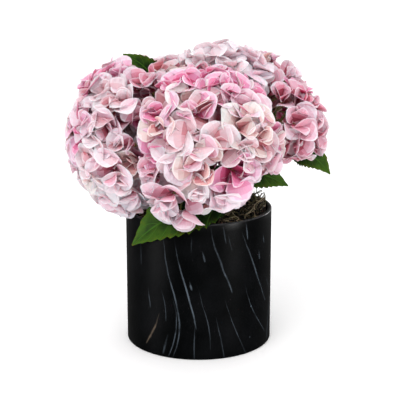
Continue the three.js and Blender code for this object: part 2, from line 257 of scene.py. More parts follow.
def add_node(tree, kind, inputs=(), stops=(), curve=(), **settings):
    """Add a node. Settings are its properties, inputs are values or sockets by name or number,
    stops are a ramp's places and colours, and curve is the points of a float curve."""
    node = tree.nodes.new(kind)
    for name, value in settings.items():
        setattr(node, name, value)
    for name, value in dict(inputs).items():
        if isinstance(value, bpy.types.NodeSocket):
            tree.links.new(value, node.inputs[name])
        else:
            node.inputs[name].default_value = value
    for number, (place, colour) in enumerate(stops):
        elements = node.color_ramp.elements
        element = elements[number] if number < 2 else elements.new(place)
        element.position, element.color = place, linear(colour)
    if len(curve):
        points = node.mapping.curves[0].points
        points[0].location, points[1].location = curve[0], curve[-1]
        for place in curve[1:-1]:
            points.new(*place)
        node.mapping.update()
    return node


def new_material(name, **values):
    """A material with its values set on the shader's own sockets, its node tree and shader."""
    material = bpy.data.materials.new(name)
    material.use_nodes = True
    shader = material.node_tree.nodes["Principled BSDF"]
    for socket, value in values.items():
        shader.inputs[socket.replace("_", " ")].default_value = value
    return material, material.node_tree, shader


# %% [markdown]
# ## Camera, floor and light
# The pot is 150 mm wide and its outline fixes the camera: 1.2 m in front and 0.45 m up,
# looking down at 14.4 degrees through a long lens. Light comes from a white room, with a large
# soft panel in front and above, and one on each side, which draw the soft bands on the pot.

# %% Camera
CAMERA = {"place": (0.0013, -1.1966, 0.4536), "down": 14.415, "lens": 108.0, "sensor": 36}

camera = bpy.data.objects.new("camera", bpy.data.cameras.new("camera"))
camera.location = CAMERA["place"]
camera.rotation_euler = (math.radians(90 - CAMERA["down"]), 0, 0)
camera.data.lens = CAMERA["lens"]
camera.data.sensor_width = CAMERA["sensor"]
bpy.context.scene.collection.objects.link(camera)
bpy.context.scene.camera = camera
print("camera:", CAMERA["lens"], "mm lens,", CAMERA["down"], "degrees down")

# %% Floor and room
ROOM = {"seen": 1.0, "lit": 0.9, "shine": 0.05}
FLOOR = {"colour": "#fdfdfd", "half": 20000, "drop": 0.2}

floor_corners = [(x * FLOOR["half"], y * FLOOR["half"], -FLOOR["drop"])
                 for x, y in ((-1, -1), (1, -1), (1, 1), (-1, 1))]
paper, tree, shader = new_material("matte white backdrop paper", Roughness=0.9)
shader.inputs["Base Color"].default_value = linear(FLOOR["colour"])
floor = make_piece("floor", np.array(floor_corners), [np.arange(4)[None]], [paper])
floor.visible_glossy = False

world = bpy.data.worlds.new("white room")
world.use_nodes = True
backdrop = world.node_tree.nodes["Background"]
backdrop.inputs["Color"].default_value = linear("#ffffff")
ray = add_node(world.node_tree, "ShaderNodeLightPath").outputs
plain = add_node(world.node_tree, "ShaderNodeMapRange", {"Value": ray["Is Camera Ray"],
                 "To Min": ROOM["lit"], "To Max": ROOM["seen"]}).outputs[0]
strength = add_node(world.node_tree, "ShaderNodeMapRange", {"Value": ray["Is Glossy Ray"],
                    "To Min": plain, "To Max": ROOM["shine"]}).outputs[0]
world.node_tree.links.new(strength, backdrop.inputs["Strength"])
bpy.context.scene.world = world
bpy.context.scene.view_settings.view_transform = "Standard"
print("floor and room:", paper.name, "and", world.name)

# %% Lights
SUNS = {  # where from, softness in degrees, strength: panels so large that they count as far off
    "panel_key": ((-0.35, -0.8, 1.0), 35, 1.1),
    "panel_front": ((0.15, -1.0, 0.35), 50, 0.55),
    "panel_fill": ((0.9, -0.6, 0.8), 60, 0.35),
    "panel_back": ((0.2, 1.0, 0.8), 60, 0.5),
}
STRIPS = {  # place and target in metres, size in metres, power in watts
    "strip_left": ((-1.1, -0.49, 0.16), (0, 0, 0.08), 0.3, 5.0),
    "strip_right": ((0.95, -0.74, 0.16), (0, 0, 0.08), 0.35, 4.0),
    "strip_back_left": ((-0.8, 0.9, 0.2), (0, 0, 0.08), 0.3, 4.0),
    "strip_back_right": ((0.9, 0.8, 0.2), (0, 0, 0.08), 0.3, 4.0),
}


def add_light(name, kind, place, target, **values):
    """A light at a place, turned to its target, with its own values set."""
    light = bpy.data.objects.new(name, bpy.data.lights.new(name, kind))
    for key, value in values.items():
        setattr(light.data, key, value)
    light.location = place
    aim = Vector(target) - light.location
    light.rotation_euler = aim.to_track_quat("-Z", "Y").to_euler()
    bpy.context.scene.collection.objects.link(light)
    return light


for name, (place, soft, strength) in SUNS.items():
    add_light(name, "SUN", place, (0, 0, 0), angle=math.radians(soft), energy=strength)
for name, (place, target, size, power) in STRIPS.items():
    strip = add_light(name, "AREA", place, target, size=size, energy=power)
    strip.visible_diffuse = False
print("lights:", ", ".join([*SUNS, *STRIPS]))

# %% [markdown]
# ## Pot
# A straight slip-cast pot, 150 mm wide and 140 mm tall, with a 4 mm wall. A cylinder with
# bevels would do for it. One profile turned about Z is as short and gives the foot and the lip
# their own radii. The glaze is satin black with thin steep grey veins, as on black marble. A
# noise stretched thin would scatter them anyhow, so each vein is a curve over the pot's height
# that says how far round it runs, in millimetres from the front, and another that says how
# strongly it shows. The veins follow the object's own coordinates, so they stay on the pot.

# %% Pot shape
POT = {"radius": 75, "height": 140, "wall": 4, "floor": 6, "foot": 1.5, "lip": 0.9, "sides": 192,
       "end_ring": 8, "wall_rings": 9}


def arc_points(centre, radius, start, end, steps):
    """Points of a profile's rounded corner: centre + radius (cos a, sin a) from start to end."""
    angle = np.radians(np.linspace(start, end, steps))
    return np.stack([centre[0] + radius * np.cos(angle), centre[1] + radius * np.sin(angle)], 1)


def lathe(profile, sides):
    """A profile of [radius, height] turned about Z: x = r cos a, y = r sin a. Its first and last
    points lie on the axis and become poles of triangles."""
    angle = np.linspace(0, 2 * np.pi, sides, endpoint=False)
    rings = profile[1:-1]
    wall = np.stack([rings[:, :1] * np.cos(angle), rings[:, :1] * np.sin(angle),
                     np.repeat(rings[:, 1:], sides, 1)], -1).reshape(-1, 3)
    poles = np.array([[0, 0, profile[0][1]], [0, 0, profile[-1][1]]])
    index = np.arange(len(wall)).reshape(-1, sides)
    turned = np.roll(index, -1, axis=1)
    quads = np.stack([index[:-1], turned[:-1], turned[1:], index[1:]], -1).reshape(-1, 4)
    bottom = np.stack([np.full(sides, len(wall)), turned[0], index[0]], -1)
    top = np.stack([index[-1], turned[-1], np.full(sides, len(wall) + 1)], -1)
    return np.concatenate([wall, poles]), [quads, np.concatenate([bottom, top])]


inner = POT["radius"] - POT["wall"]
foot, lip = POT["foot"], POT["lip"]
pot_profile = np.concatenate([
    [[0, 0], [POT["radius"] * 0.5, 0]],
    arc_points((POT["radius"] - foot, foot), foot, -90, 0, 7),
    [[POT["radius"], height] for height in np.linspace(
        POT["end_ring"], POT["height"] - POT["end_ring"], POT["wall_rings"])],
    arc_points((POT["radius"] - lip, POT["height"] - lip), lip, 0, 90, 5),
    arc_points((inner + lip, POT["height"] - lip), lip, 90, 180, 5),
    [[inner, POT["floor"]], [0, POT["floor"]]],
])
pot_points, pot_faces = lathe(pot_profile, POT["sides"])
print("pot profile:", len(pot_profile), "points, turned in", POT["sides"], "steps")

# %% Pot glaze
# Glazed ceramic: a dense, slightly orange-peeled skin that spreads reflections into soft bands.
# The lip's grey is a painted highlight along the rim's edge.
GLAZE = {"body": "#020304", "cloud": "#090a0d", "vein": "#58636d", "stain": "#786857",
         "lip": "#54565a"}
TALL = POT["height"]
ROUND = 2 * math.pi * POT["radius"]
# A vein is its points, as mm round from the front and mm up, then its width and strength.
VEINS = [
    ([(-35.8, 137), (-35.1, 115), (-32.2, 94.5), (-27.6, 77), (-23.5, 63), (-20.6, 48),
      (-19.2, 33), (-21.2, 18), (-26, 3)], 1.3, 0.6),
    ([(-25.6, 61), (-22.9, 50), (-22.4, 40), (-22.8, 31), (-25.5, 18), (-30.5, 3)], 1.0, 0.5),
    ([(-23.6, 122), (-20.8, 105), (-17.2, 90), (-12.9, 76), (-8.7, 61), (-5.2, 46), (-3, 36)],
     1.3, 0.8),
    ([(-3, 38), (-4.3, 24), (-4.5, 3)], 0.9, 0.35),
    ([(0.5, 72), (4, 57), (6.9, 47), (10, 34), (11.5, 14)], 0.9, 0.35),
    ([(12.4, 135), (15.3, 118), (21.1, 104), (24.8, 92.5), (28.6, 84), (33.1, 72)], 1.5, 0.7),
    ([(27.3, 60), (32, 45), (38.7, 28), (50.5, 3)], 0.9, 0.4),
    ([(17.7, 42), (21.4, 26), (25.5, 4)], 1.0, 0.4),
    ([(46.2, 127), (52.8, 112), (61.3, 94), (69.9, 75), (82.6, 52)], 1.5, 0.6),
    ([(50.4, 136), (52.4, 124)], 1.2, 0.7),
    ([(50.6, 72), (56.7, 54), (65.8, 38), (83.8, 16)], 1.0, 0.45),
    ([(24.7, 136), (26.9, 123)], 1.0, 0.4),
    ([(30.3, 126), (32.8, 116)], 0.9, 0.3),
    ([(-66.2, 116), (-65.9, 95)], 0.9, 0.35),
    ([(-55.2, 68), (-53.3, 53)], 1.0, 0.45),
    ([(-38, 68), (-34.8, 55), (-33.8, 42)], 0.9, 0.35),
    ([(85.6, 74), (97.7, 57)], 1.2, 0.45),
    ([(-32.7, 22), (-36.6, 7)], 1.8, 0.35),
    ([(-7, 126), (-7.2, 116)], 0.9, 0.25),
    ([(4.2, 110), (5.2, 106)], 1.6, 1.0),
    ([(-8.1, 79), (-7.7, 77)], 1.6, 0.6),
    ([(70.5, 103), (71, 100)], 1.8, 0.7),
    ([(78.6, 117), (79.1, 115)], 1.6, 0.6),
]
STAIN = ([(-42.6, 42), (-47.9, 28), (-57, 13)], 1.9, 0.75)
# Round the back the veins are dealt by chance: how many, mm round to the first and from one to
# the next, then how far each sways, how high it starts, how long it is, how far it leans and
# bows, and its width and strength.
BACK_VEINS = {"count": 14, "first": 104, "step": 19.5, "sway": 6, "top": (78, 60), "short": 40,
              "longer": 60, "lean": 16, "bow": 8, "width": (0.9, 0.7), "strength": (0.3, 0.4)}
for number in range(BACK_VEINS["count"]):
    start = BACK_VEINS["first"] + number * BACK_VEINS["step"]
    start = start + spread(number, 61, BACK_VEINS["sway"])
    top = between(BACK_VEINS["top"], chance(number, 62))
    low = top - BACK_VEINS["short"] - BACK_VEINS["longer"] * chance(number, 63)
    lean = spread(number, 64, BACK_VEINS["lean"])
    middle = (start + 0.3 * lean, (top + low) / 2 + BACK_VEINS["bow"])
    line = [(start, top), middle, (start + lean, max(low, 1))]
    VEINS.append(([((x + ROUND / 2) % ROUND - ROUND / 2, y) for x, y in line],
                  between(BACK_VEINS["width"], chance(number, 65)),
                  between(BACK_VEINS["strength"], chance(number, 66))))
print("veins:", len(VEINS), "and one rusty stain")

# %% Glaze: how far round and how high a point lies
glaze, tree, shader = new_material("satin black marbled glaze on ceramic", IOR=1.5,
                                   Specular_IOR_Level=0.2)
place = add_node(tree, "ShaderNodeTexCoord").outputs["Object"]
axes = add_node(tree, "ShaderNodeSeparateXYZ", {"Vector": place}).outputs
front = add_node(tree, "ShaderNodeMath", {0: axes["Y"], 1: -1.0}, operation="MULTIPLY").outputs[0]
turn = add_node(tree, "ShaderNodeMath", {0: axes["X"], 1: front}, operation="ARCTAN2").outputs[0]
wobble = add_node(tree, "ShaderNodeTexNoise", {"Vector": place, "Scale": 60.0, "Detail": 3.0})
drift = add_node(tree, "ShaderNodeMapRange",
                 {"Value": wobble.outputs["Fac"], "To Min": 0.498, "To Max": 0.502})
around = add_node(tree, "ShaderNodeMath", {0: turn, 1: 1 / (2 * math.pi), 2: drift.outputs[0]},
                  operation="MULTIPLY_ADD").outputs[0]
up = add_node(tree, "ShaderNodeMath", {0: axes["Z"], 1: 1 / (TALL * MM)},
              operation="MULTIPLY").outputs[0]
print("glaze:", glaze.name)

# %% Glaze: veins and stain
FADE = 0.03  # share of the pot's height over which a vein's ends fade out
marks = []
for line, width, strength in [*VEINS, STAIN]:
    line = sorted(line, key=lambda point: point[1])
    route = [(high / TALL, across / ROUND + 0.5) for across, high in line]
    low, high = line[0][1] / TALL, line[-1][1] / TALL
    show = [(max(low - FADE, 0), 0), (low + 0.35 * (high - low), strength),
            (low + 0.7 * (high - low), 0.7 * strength), (min(high + FADE, 1), 0)]
    runs = add_node(tree, "ShaderNodeFloatCurve", {"Value": up}, curve=route).outputs[0]
    off = add_node(tree, "ShaderNodeMath", {0: around, 1: runs}, operation="SUBTRACT").outputs[0]
    gap = add_node(tree, "ShaderNodeMath", {0: off}, operation="ABSOLUTE").outputs[0]
    fade = add_node(tree, "ShaderNodeFloatCurve", {"Value": up}, curve=show).outputs[0]
    half = add_node(tree, "ShaderNodeMath", {0: fade, 1: 0.7 * width / ROUND / strength,
                    2: 0.3 * width / ROUND}, operation="MULTIPLY_ADD").outputs[0]
    core = add_node(tree, "ShaderNodeMapRange", {"Value": gap, "From Min": half, "From Max": 0.0},
                    interpolation_type="SMOOTHSTEP").outputs[0]
    mark = add_node(tree, "ShaderNodeMath", {0: core, 1: fade}, operation="MULTIPLY")
    marks.append(mark.outputs[0])
veining = marks[0]
for mark in marks[1:-1]:
    veining = add_node(tree, "ShaderNodeMath", {0: veining, 1: mark},
                       operation="MAXIMUM").outputs[0]
print("marks in the glaze:", len(marks))

# %% Glaze: body, flecks and the lip's painted highlight
# Veins come and go every 11 mm or so, the body clouds over every 36 mm, and a few pinprick
# flecks lie in cells 10 mm wide. A pale grey line on the lip's edge is a painted highlight.
patchy = add_node(tree, "ShaderNodeTexNoise", {"Vector": place, "Scale": 90.0, "Detail": 2.0})
broken = add_node(tree, "ShaderNodeMapRange", {"Value": patchy.outputs["Fac"], "From Min": 0.35,
                  "From Max": 0.6, "To Min": 0.35}).outputs[0]
strong = add_node(tree, "ShaderNodeMath", {0: veining, 1: broken}, operation="MULTIPLY").outputs[0]
clouds = add_node(tree, "ShaderNodeTexNoise", {"Vector": place, "Scale": 28.0, "Detail": 4.0})
body = add_node(tree, "ShaderNodeValToRGB", {"Fac": clouds.outputs["Fac"]},
                stops=[(0.4, GLAZE["body"]), (0.75, GLAZE["cloud"])])
specks = add_node(tree, "ShaderNodeTexVoronoi", {"Vector": place, "Scale": 95.0})
dots = add_node(tree, "ShaderNodeMapRange", {"Value": specks.outputs["Distance"],
                "From Min": 0.085, "From Max": 0.05}).outputs[0]
chosen = add_node(tree, "ShaderNodeSeparateColor", {"Color": specks.outputs["Color"]})
kept = add_node(tree, "ShaderNodeMath", {0: chosen.outputs["Red"], 1: 0.93},
                operation="GREATER_THAN").outputs[0]
flecks = add_node(tree, "ShaderNodeMath", {0: dots, 1: kept}, operation="MULTIPLY").outputs[0]
pale = add_node(tree, "ShaderNodeMath", {0: strong, 1: flecks}, operation="MAXIMUM",
                use_clamp=True).outputs[0]
veined = add_node(tree, "ShaderNodeMix", {"Factor": pale, "A": body.outputs["Color"],
                  "B": linear(GLAZE["vein"])}, data_type="RGBA").outputs["Result"]
rust = add_node(tree, "ShaderNodeMath", {0: marks[-1], 1: broken}, operation="MULTIPLY").outputs[0]
stained = add_node(tree, "ShaderNodeMix", {"Factor": rust, "A": veined,
                   "B": linear(GLAZE["stain"])}, data_type="RGBA").outputs["Result"]
# Painted highlight: a pale grey line along the lip's edge, broken up by the same patchy noise as
# the veins.
edge = add_node(tree, "ShaderNodeMapRange", {"Value": up, "From Min": 0.9925, "From Max": 0.999,
                "To Max": 0.6}).outputs[0]
painted_lip_highlight = add_node(tree, "ShaderNodeMath", {0: edge, 1: broken}, operation="MULTIPLY").outputs[0]
colour = add_node(tree, "ShaderNodeMix", {"Factor": painted_lip_highlight, "A": stained,
                  "B": linear(GLAZE["lip"])}, data_type="RGBA").outputs["Result"]
tree.links.new(colour, shader.inputs["Base Color"])
print("glaze colours:", ", ".join(f"{part} {colour}" for part, colour in GLAZE.items()))

# %% Glaze: sheen, and the pot in place
gloss = add_node(tree, "ShaderNodeMapRange", {"Value": clouds.outputs["Fac"], "To Min": 0.26,
                 "To Max": 0.36}).outputs[0]
tree.links.new(gloss, shader.inputs["Roughness"])
peel = add_node(tree, "ShaderNodeTexNoise", {"Vector": place, "Scale": 420.0, "Detail": 2.0})
bump = add_node(tree, "ShaderNodeBump", {"Height": peel.outputs["Fac"], "Strength": 0.06,
                "Distance": 0.0004})
tree.links.new(bump.outputs["Normal"], shader.inputs["Normal"])

pot = make_piece("pot_glazed", pot_points, pot_faces, [glaze])
dress(pot, "pot", "pot")

# %% [markdown]
# ## Foam
# The block is hidden under the moss, so a finer mesh would be wasted on it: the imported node
# stays and only gets its material, dense dry floral foam, a dull green crumb of closed cells
# about 1.5 mm wide.

# %% Foam
foam_finish, tree, shader = new_material("dry floral foam", Roughness=0.95)
place = add_node(tree, "ShaderNodeTexCoord").outputs["Object"]
crumb = add_node(tree, "ShaderNodeTexVoronoi", {"Vector": place, "Scale": 700.0})
shade = add_node(tree, "ShaderNodeValToRGB", {"Fac": crumb.outputs["Distance"]},
                 stops=[(0.0, "#2f3a22"), (0.8, "#55633c")])
tree.links.new(shade.outputs["Color"], shader.inputs["Base Color"])
bump = add_node(tree, "ShaderNodeBump", {"Height": crumb.outputs["Distance"],
                "Distance": 0.0006})
tree.links.new(bump.outputs["Normal"], shader.inputs["Normal"])
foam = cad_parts["foam"]
foam.data.materials.clear()
foam.data.materials.append(foam_finish)
print("foam keeps its packed shape and gets", foam_finish.name)

# %% [markdown]
# ## Stems
# One moulded plastic trunk carries six boughs, a bough for each bloom. A bough leaves the trunk
# square to it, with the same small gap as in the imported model, and bends up into its bloom. A
# curve object with a bevel could draw these too. Tubes worked out from the curve taper freely
# and are closed at both ends.

# %% Trunk and boughs
TRUNK = {"foot": 50, "top": 156, "lean": 5, "foot_radius": 7.5, "top_radius": 5.5, "sides": 20}
BOUGH = {"root_radius": 3.6, "tip_radius": 2.5, "stub": 12, "entry": 0.62, "swing": 0.35,
         "collar": 0.9, "sides": 12}
STEM_RINGS = 32
KNOTS = {"trunk": ((0.25, 40), (0.2, 17)), "bough": ((0.12, 50),)}  # mm high, radians along
# centre, radius, facing, opening in degrees, fork height and turn of each bloom
BLOOMS = {
    "front": ((5, -50, 214), 78, (0, -0.66, 0.75), 120, 148, 0.45),
    "left": ((-50, -5, 212), 83, (-0.66, -0.22, 0.72), 122, 143, 1.9),
    "top": ((23, 20, 241), 65, (0.1, -0.15, 0.98), 112, TRUNK["top"], 3.1),
    "right": ((77, 6, 219), 54, (0.45, -0.25, 0.86), 102, 144, 4.4),
    "back_left": ((-22, 54, 222), 66, (-0.25, 0.5, 0.83), 118, 149, 5.2),
    "back_right": ((62, 50, 238), 54, (0.4, 0.45, 0.8), 114, 152, 0.9),
}
CENTRES = np.array([bloom[0] for bloom in BLOOMS.values()], float)
RADII = np.array([bloom[1] for bloom in BLOOMS.values()], float)
FACINGS = unit(np.array([bloom[2] for bloom in BLOOMS.values()], float))
ENTRIES = CENTRES - FACINGS * BOUGH["entry"] * RADII[:, None]
middle_height = (TRUNK["foot"] + TRUNK["top"]) / 2
trunk_line = np.array([[0, 0, TRUNK["foot"]], [0, 0, middle_height],
                       [0, TRUNK["lean"], TRUNK["top"]]], float)


def offshoot(parent, along, parent_radius, target, arrival):
    """Controls of a line that leaves its parent square to it, a gap clear of it, runs straight
    for a stub and arrives at its target in a given direction."""
    start, run = at_length(parent, along)
    side = target - start
    side = unit(side - dot(side, run) * run)
    start = start + side * (parent_radius + GAP)
    reach = np.linalg.norm(start - target) * BOUGH["swing"]
    stub = start + side * min(reach, BOUGH["stub"])
    return np.array([start, stub, target - arrival * reach, target])


def bough_line(number, fork):
    """A bough from the trunk's side to its bloom, or from its tip where it grows on from it."""
    target, faces = ENTRIES[number], FACINGS[number]
    if fork < TRUNK["top"]:
        along = (fork - TRUNK["foot"]) / (TRUNK["top"] - TRUNK["foot"])
        radius = TRUNK["foot_radius"] + (TRUNK["top_radius"] - TRUNK["foot_radius"]) * along
        return offshoot(trunk_line, along, radius, target, faces)
    tip, rise = at_length(trunk_line, 1)
    start = tip + rise * GAP
    return np.array([start, start + rise * BOUGH["stub"], target - faces * BOUGH["stub"], target])


def bough_radius(along):
    """The bough's radius, from its root to its tip in proportion to length."""
    return BOUGH["root_radius"] + (BOUGH["tip_radius"] - BOUGH["root_radius"]) * along


def knots(part, share):
    """The moulding's knots, in mm: sines along the stem, added up."""
    return sum(height * np.sin(share * waves) for height, waves in KNOTS[part])


boughs = {name: bough_line(i, bloom[4]) for i, (name, bloom) in enumerate(BLOOMS.items())}
print("boughs:", ", ".join(boughs))

# %% Stem plastic
# Moulded polyethylene: waxy, slightly soft green with lengthwise flow lines and paler nicks.
stem_finish, tree, shader = new_material("moulded green polyethylene stem", IOR=1.5,
                                         Subsurface_Weight=0.08, Subsurface_Scale=0.002)
place = add_node(tree, "ShaderNodeTexCoord").outputs["Object"]
fibres = add_node(tree, "ShaderNodeMapping", {"Vector": place, "Scale": (1.0, 1.0, 0.16)})
streak = add_node(tree, "ShaderNodeTexNoise",
                  {"Vector": fibres.outputs["Vector"], "Scale": 650.0, "Detail": 4.0})
green = add_node(tree, "ShaderNodeValToRGB", {"Fac": streak.outputs["Fac"]},
                 stops=[(0.3, "#2f3a17"), (0.7, "#5d6b31")])
tree.links.new(green.outputs["Color"], shader.inputs["Base Color"])
rough = add_node(tree, "ShaderNodeMapRange", {"Value": streak.outputs["Fac"], "To Min": 0.42,
                 "To Max": 0.62})
tree.links.new(rough.outputs[0], shader.inputs["Roughness"])
bump = add_node(tree, "ShaderNodeBump", {"Height": streak.outputs["Fac"], "Distance": 0.0005})
tree.links.new(bump.outputs["Normal"], shader.inputs["Normal"])
print("finish:", stem_finish.name)

# %% Stems in place
share = np.linspace(0, 1, STEM_RINGS)
taper = TRUNK["foot_radius"] + (TRUNK["top_radius"] - TRUNK["foot_radius"]) * share
points, faces = tubes(bezier(trunk_line, share)[None], taper + knots("trunk", share),
                      TRUNK["sides"])
dress(make_piece("trunk_moulded", points, faces, [stem_finish]), "stem", "trunk")
for name, line in boughs.items():
    # A bough flares into a collar where it meets the trunk.
    radii = bough_radius(share) + BOUGH["collar"] * np.exp(-share * 14) + knots("bough", share)
    points, faces = tubes(bezier(line, share)[None], radii, BOUGH["sides"])
    bough = make_piece(f"bough_{name}_moulded", points, faces, [stem_finish])
    dress(bough, "stem", f"bough_{name}")

# %% [markdown]
# ## Leaves
# A leaf is printed cloth: a toothed blade folded along its midrib, pressed hollow between its
# side veins, on a wired petiole that grows from a bough. A plane with a see-through margin
# would be quicker, but it has no edge from the side, so the blade is one closed sheet. Its own
# coordinates say how far along and how far across each point is, and the printed colour
# follows them: pale veins on a deep green, yellower towards the tip and the teeth. The green
# darkens towards the base and the midrib, partly print and partly painted shade under the blooms.

# %% Leaf shapes
LEAVES = {  # base, mid, tip, facing, width, fullness, bough and place along it
    "front_low": ((34, -48, 154), (-18, -66, 150), (-66, -60, 115), (-0.14, -0.7, 0.7),
                  56, 0.85, "front", 0.3),
    "right_low": ((36, -34, 184), (60, -34, 182), (90, -25, 167), (0.1, -0.75, 0.62),
                  36, 0.75, "right", 0.42),
    "right": ((88, 20, 193), (112, 22, 191), (137, 22, 168), (0.3, -0.78, 0.55),
              38, 0.85, "right", 0.72),
    "top_left": ((-36, 12, 252), (-52, 6, 280), (-76, 3, 296), (-0.1, -0.8, 0.55),
                 27, 0.6, "back_left", 0.6),
    "right_gap": ((56, -22, 205), (67, -10, 224), (70, -6, 246), (0.5, -0.86, 0.1),
                  30, 0.7, "right", 0.6),
    "left_low": ((-42, 18, 170), (-64, 38, 166), (-82, 56, 146), (-0.5, 0.2, 0.84),
                 48, 0.7, "left", 0.5),
    "back_left_low": ((-22, 58, 168), (-36, 86, 162), (-46, 112, 142), (-0.2, 0.4, 0.9),
                      52, 0.7, "back_left", 0.5),
    "back_low": ((14, 62, 166), (18, 92, 158), (14, 118, 132), (0.1, 0.5, 0.85),
                 52, 0.7, "back_right", 0.45),
    "back_right_low": ((46, 50, 172), (62, 72, 164), (72, 96, 142), (0.4, 0.4, 0.82),
                       50, 0.7, "right", 0.55),
    "back_gap": ((-6, 70, 226), (-12, 92, 248), (-10, 108, 270), (0.1, 0.92, 0.3),
                 34, 0.7, "back_right", 0.7),
}
BLADE = {"rows": 57, "columns": 15, "thickness": 0.45, "fold": 0.2, "teeth": 12, "bite": 0.17,
         "veins": 7, "slant": 1.4, "press": 0.8, "wave": 0.9, "stub": 0.5}
# The petiole has a root radius in mm, a share of it that is left at its end, and the place along
# the midrib where it joins. The wire under the midrib has two radii and two such places.
PETIOLE = {"root": 1.4, "taper": 0.6, "rings": 14, "sides": 8, "joins": 0.06}
WIRE = {"root": 0.9, "tip": 0.25, "rings": 20, "sides": 6, "from": 0.04, "to": 0.96}


def leaf_blade(midrib, look, width, full, seed):
    """Middle surface and normals of a blade. Along t and across v it is the point on the
    midrib, plus side v w(t), plus face (fold |v w| + press ribs + wave). The half width w(t) is
    width / 2 sin(pi t^full)^1.05 and a stub, ribs are |sin(pi (veins t - slant |v|))|^0.6 less
    their mean, and |v|^5 keeps the saw teeth to the margin."""
    t = np.linspace(0, 1, BLADE["rows"])[:, None]
    v = np.linspace(-1, 1, BLADE["columns"])[None]
    run = np.gradient(bezier(midrib, t[:, 0]), axis=0)
    face = unit(look - dot(look, unit(run)) * unit(run))
    side = np.cross(unit(run), face)
    saw = (t * BLADE["teeth"] + 0.13 * spread(seed, 1, 1)) % 1
    margin = 1 + BLADE["bite"] * (saw - 0.5) * np.abs(v) ** 5
    half = width / 2 * np.sin(np.pi * t ** full) ** 1.05 + BLADE["stub"]
    across = v * half * margin
    ribs = np.abs(np.sin(np.pi * (BLADE["veins"] * t - BLADE["slant"] * np.abs(v)))) ** 0.6
    quilt = BLADE["press"] * (ribs - 0.6) * smoothstep(np.abs(v), 0.02, 0.3) * half / (width / 2)
    wave = BLADE["wave"] * np.sin(6.5 * t + 2 * v + 6 * chance(seed, 2))
    wave = wave * np.abs(v) ** 2 * half / (width / 2)
    lift = BLADE["fold"] * np.abs(across) + quilt + wave
    middle = bezier(midrib, t[:, 0])[:, None] + across[..., None] * side[:, None]
    middle = middle + lift[..., None] * face[:, None]
    return middle, np.broadcast_to(face[:, None], middle.shape), (t, v)


# %% Leaf cloth
# Calendered polyester: a smooth, slightly waxy print that catches a soft light on its folds.
leaf_cloth, tree, shader = new_material("printed green polyester leaf cloth", IOR=1.46,
                                        Specular_IOR_Level=0.18, Subsurface_Weight=0.1,
                                        Subsurface_Scale=0.001)
flat = add_node(tree, "ShaderNodeUVMap", uv_map="UVMap").outputs["UV"]
place = add_node(tree, "ShaderNodeTexCoord").outputs["Object"]
ways = add_node(tree, "ShaderNodeSeparateXYZ", {"Vector": flat}).outputs
offside = add_node(tree, "ShaderNodeMath", {0: ways["X"], 1: 0.5}, operation="SUBTRACT")
offside = add_node(tree, "ShaderNodeMath", {0: offside.outputs[0]},
                   operation="ABSOLUTE").outputs[0]
lean = add_node(tree, "ShaderNodeMath", {0: offside, 1: -2 * BLADE["slant"]},
                operation="MULTIPLY").outputs[0]
phase = add_node(tree, "ShaderNodeMath", {0: ways["Y"], 1: float(BLADE["veins"]), 2: lean},
                 operation="MULTIPLY_ADD").outputs[0]
fold = add_node(tree, "ShaderNodeMath", {0: phase, 1: 0.5}, operation="PINGPONG").outputs[0]
side_veins = add_node(tree, "ShaderNodeMapRange", {"Value": fold, "From Min": 0.075,
                      "From Max": 0.0, "To Max": 0.55},
                      interpolation_type="SMOOTHSTEP").outputs[0]
midrib_print = add_node(tree, "ShaderNodeMapRange", {"Value": offside, "From Min": 0.045,
                        "From Max": 0.0}, interpolation_type="SMOOTHSTEP").outputs[0]
veins = add_node(tree, "ShaderNodeMath", {0: side_veins, 1: midrib_print},
                 operation="MAXIMUM").outputs[0]
mottle = add_node(tree, "ShaderNodeTexNoise", {"Vector": place, "Scale": 110.0, "Detail": 4.0})
# Lighter towards the tip and the margins, darker towards the base and the midrib: partly print,
# partly painted shade where the blooms hang over the leaf.
toward_tip = add_node(tree, "ShaderNodeMath", {0: ways["Y"], 1: 0.55},
                      operation="MULTIPLY").outputs[0]
toward_rim = add_node(tree, "ShaderNodeMath", {0: offside, 1: 0.5, 2: toward_tip},
                      operation="MULTIPLY_ADD").outputs[0]
print_and_painted_shade = add_node(tree, "ShaderNodeMath", {0: mottle.outputs["Fac"], 1: 0.55, 2: toward_rim},
               operation="MULTIPLY_ADD").outputs[0]
green = add_node(tree, "ShaderNodeValToRGB", {"Fac": print_and_painted_shade},
                 stops=[(0.25, "#040c00"), (0.95, "#385b09"), (0.6, "#0d2a02")])
print_colour = add_node(tree, "ShaderNodeMix", {"Factor": veins, "A": green.outputs["Color"],
                        "B": linear("#3a6612")}, data_type="RGBA")
tree.links.new(print_colour.outputs["Result"], shader.inputs["Base Color"])
thread = add_node(tree, "ShaderNodeTexNoise", {"Vector": place, "Scale": 900.0, "Detail": 1.0})
rough = add_node(tree, "ShaderNodeMapRange", {"Value": thread.outputs["Fac"], "To Min": 0.5,
                 "To Max": 0.8})
tree.links.new(rough.outputs[0], shader.inputs["Roughness"])
relief = add_node(tree, "ShaderNodeMath", {0: veins, 1: -1.5, 2: thread.outputs["Fac"]},
                  operation="MULTIPLY_ADD")
bump = add_node(tree, "ShaderNodeBump", {"Height": relief.outputs[0], "Strength": 0.5,
                "Distance": 0.0004})
tree.links.new(bump.outputs["Normal"], shader.inputs["Normal"])
print("finish:", leaf_cloth.name)

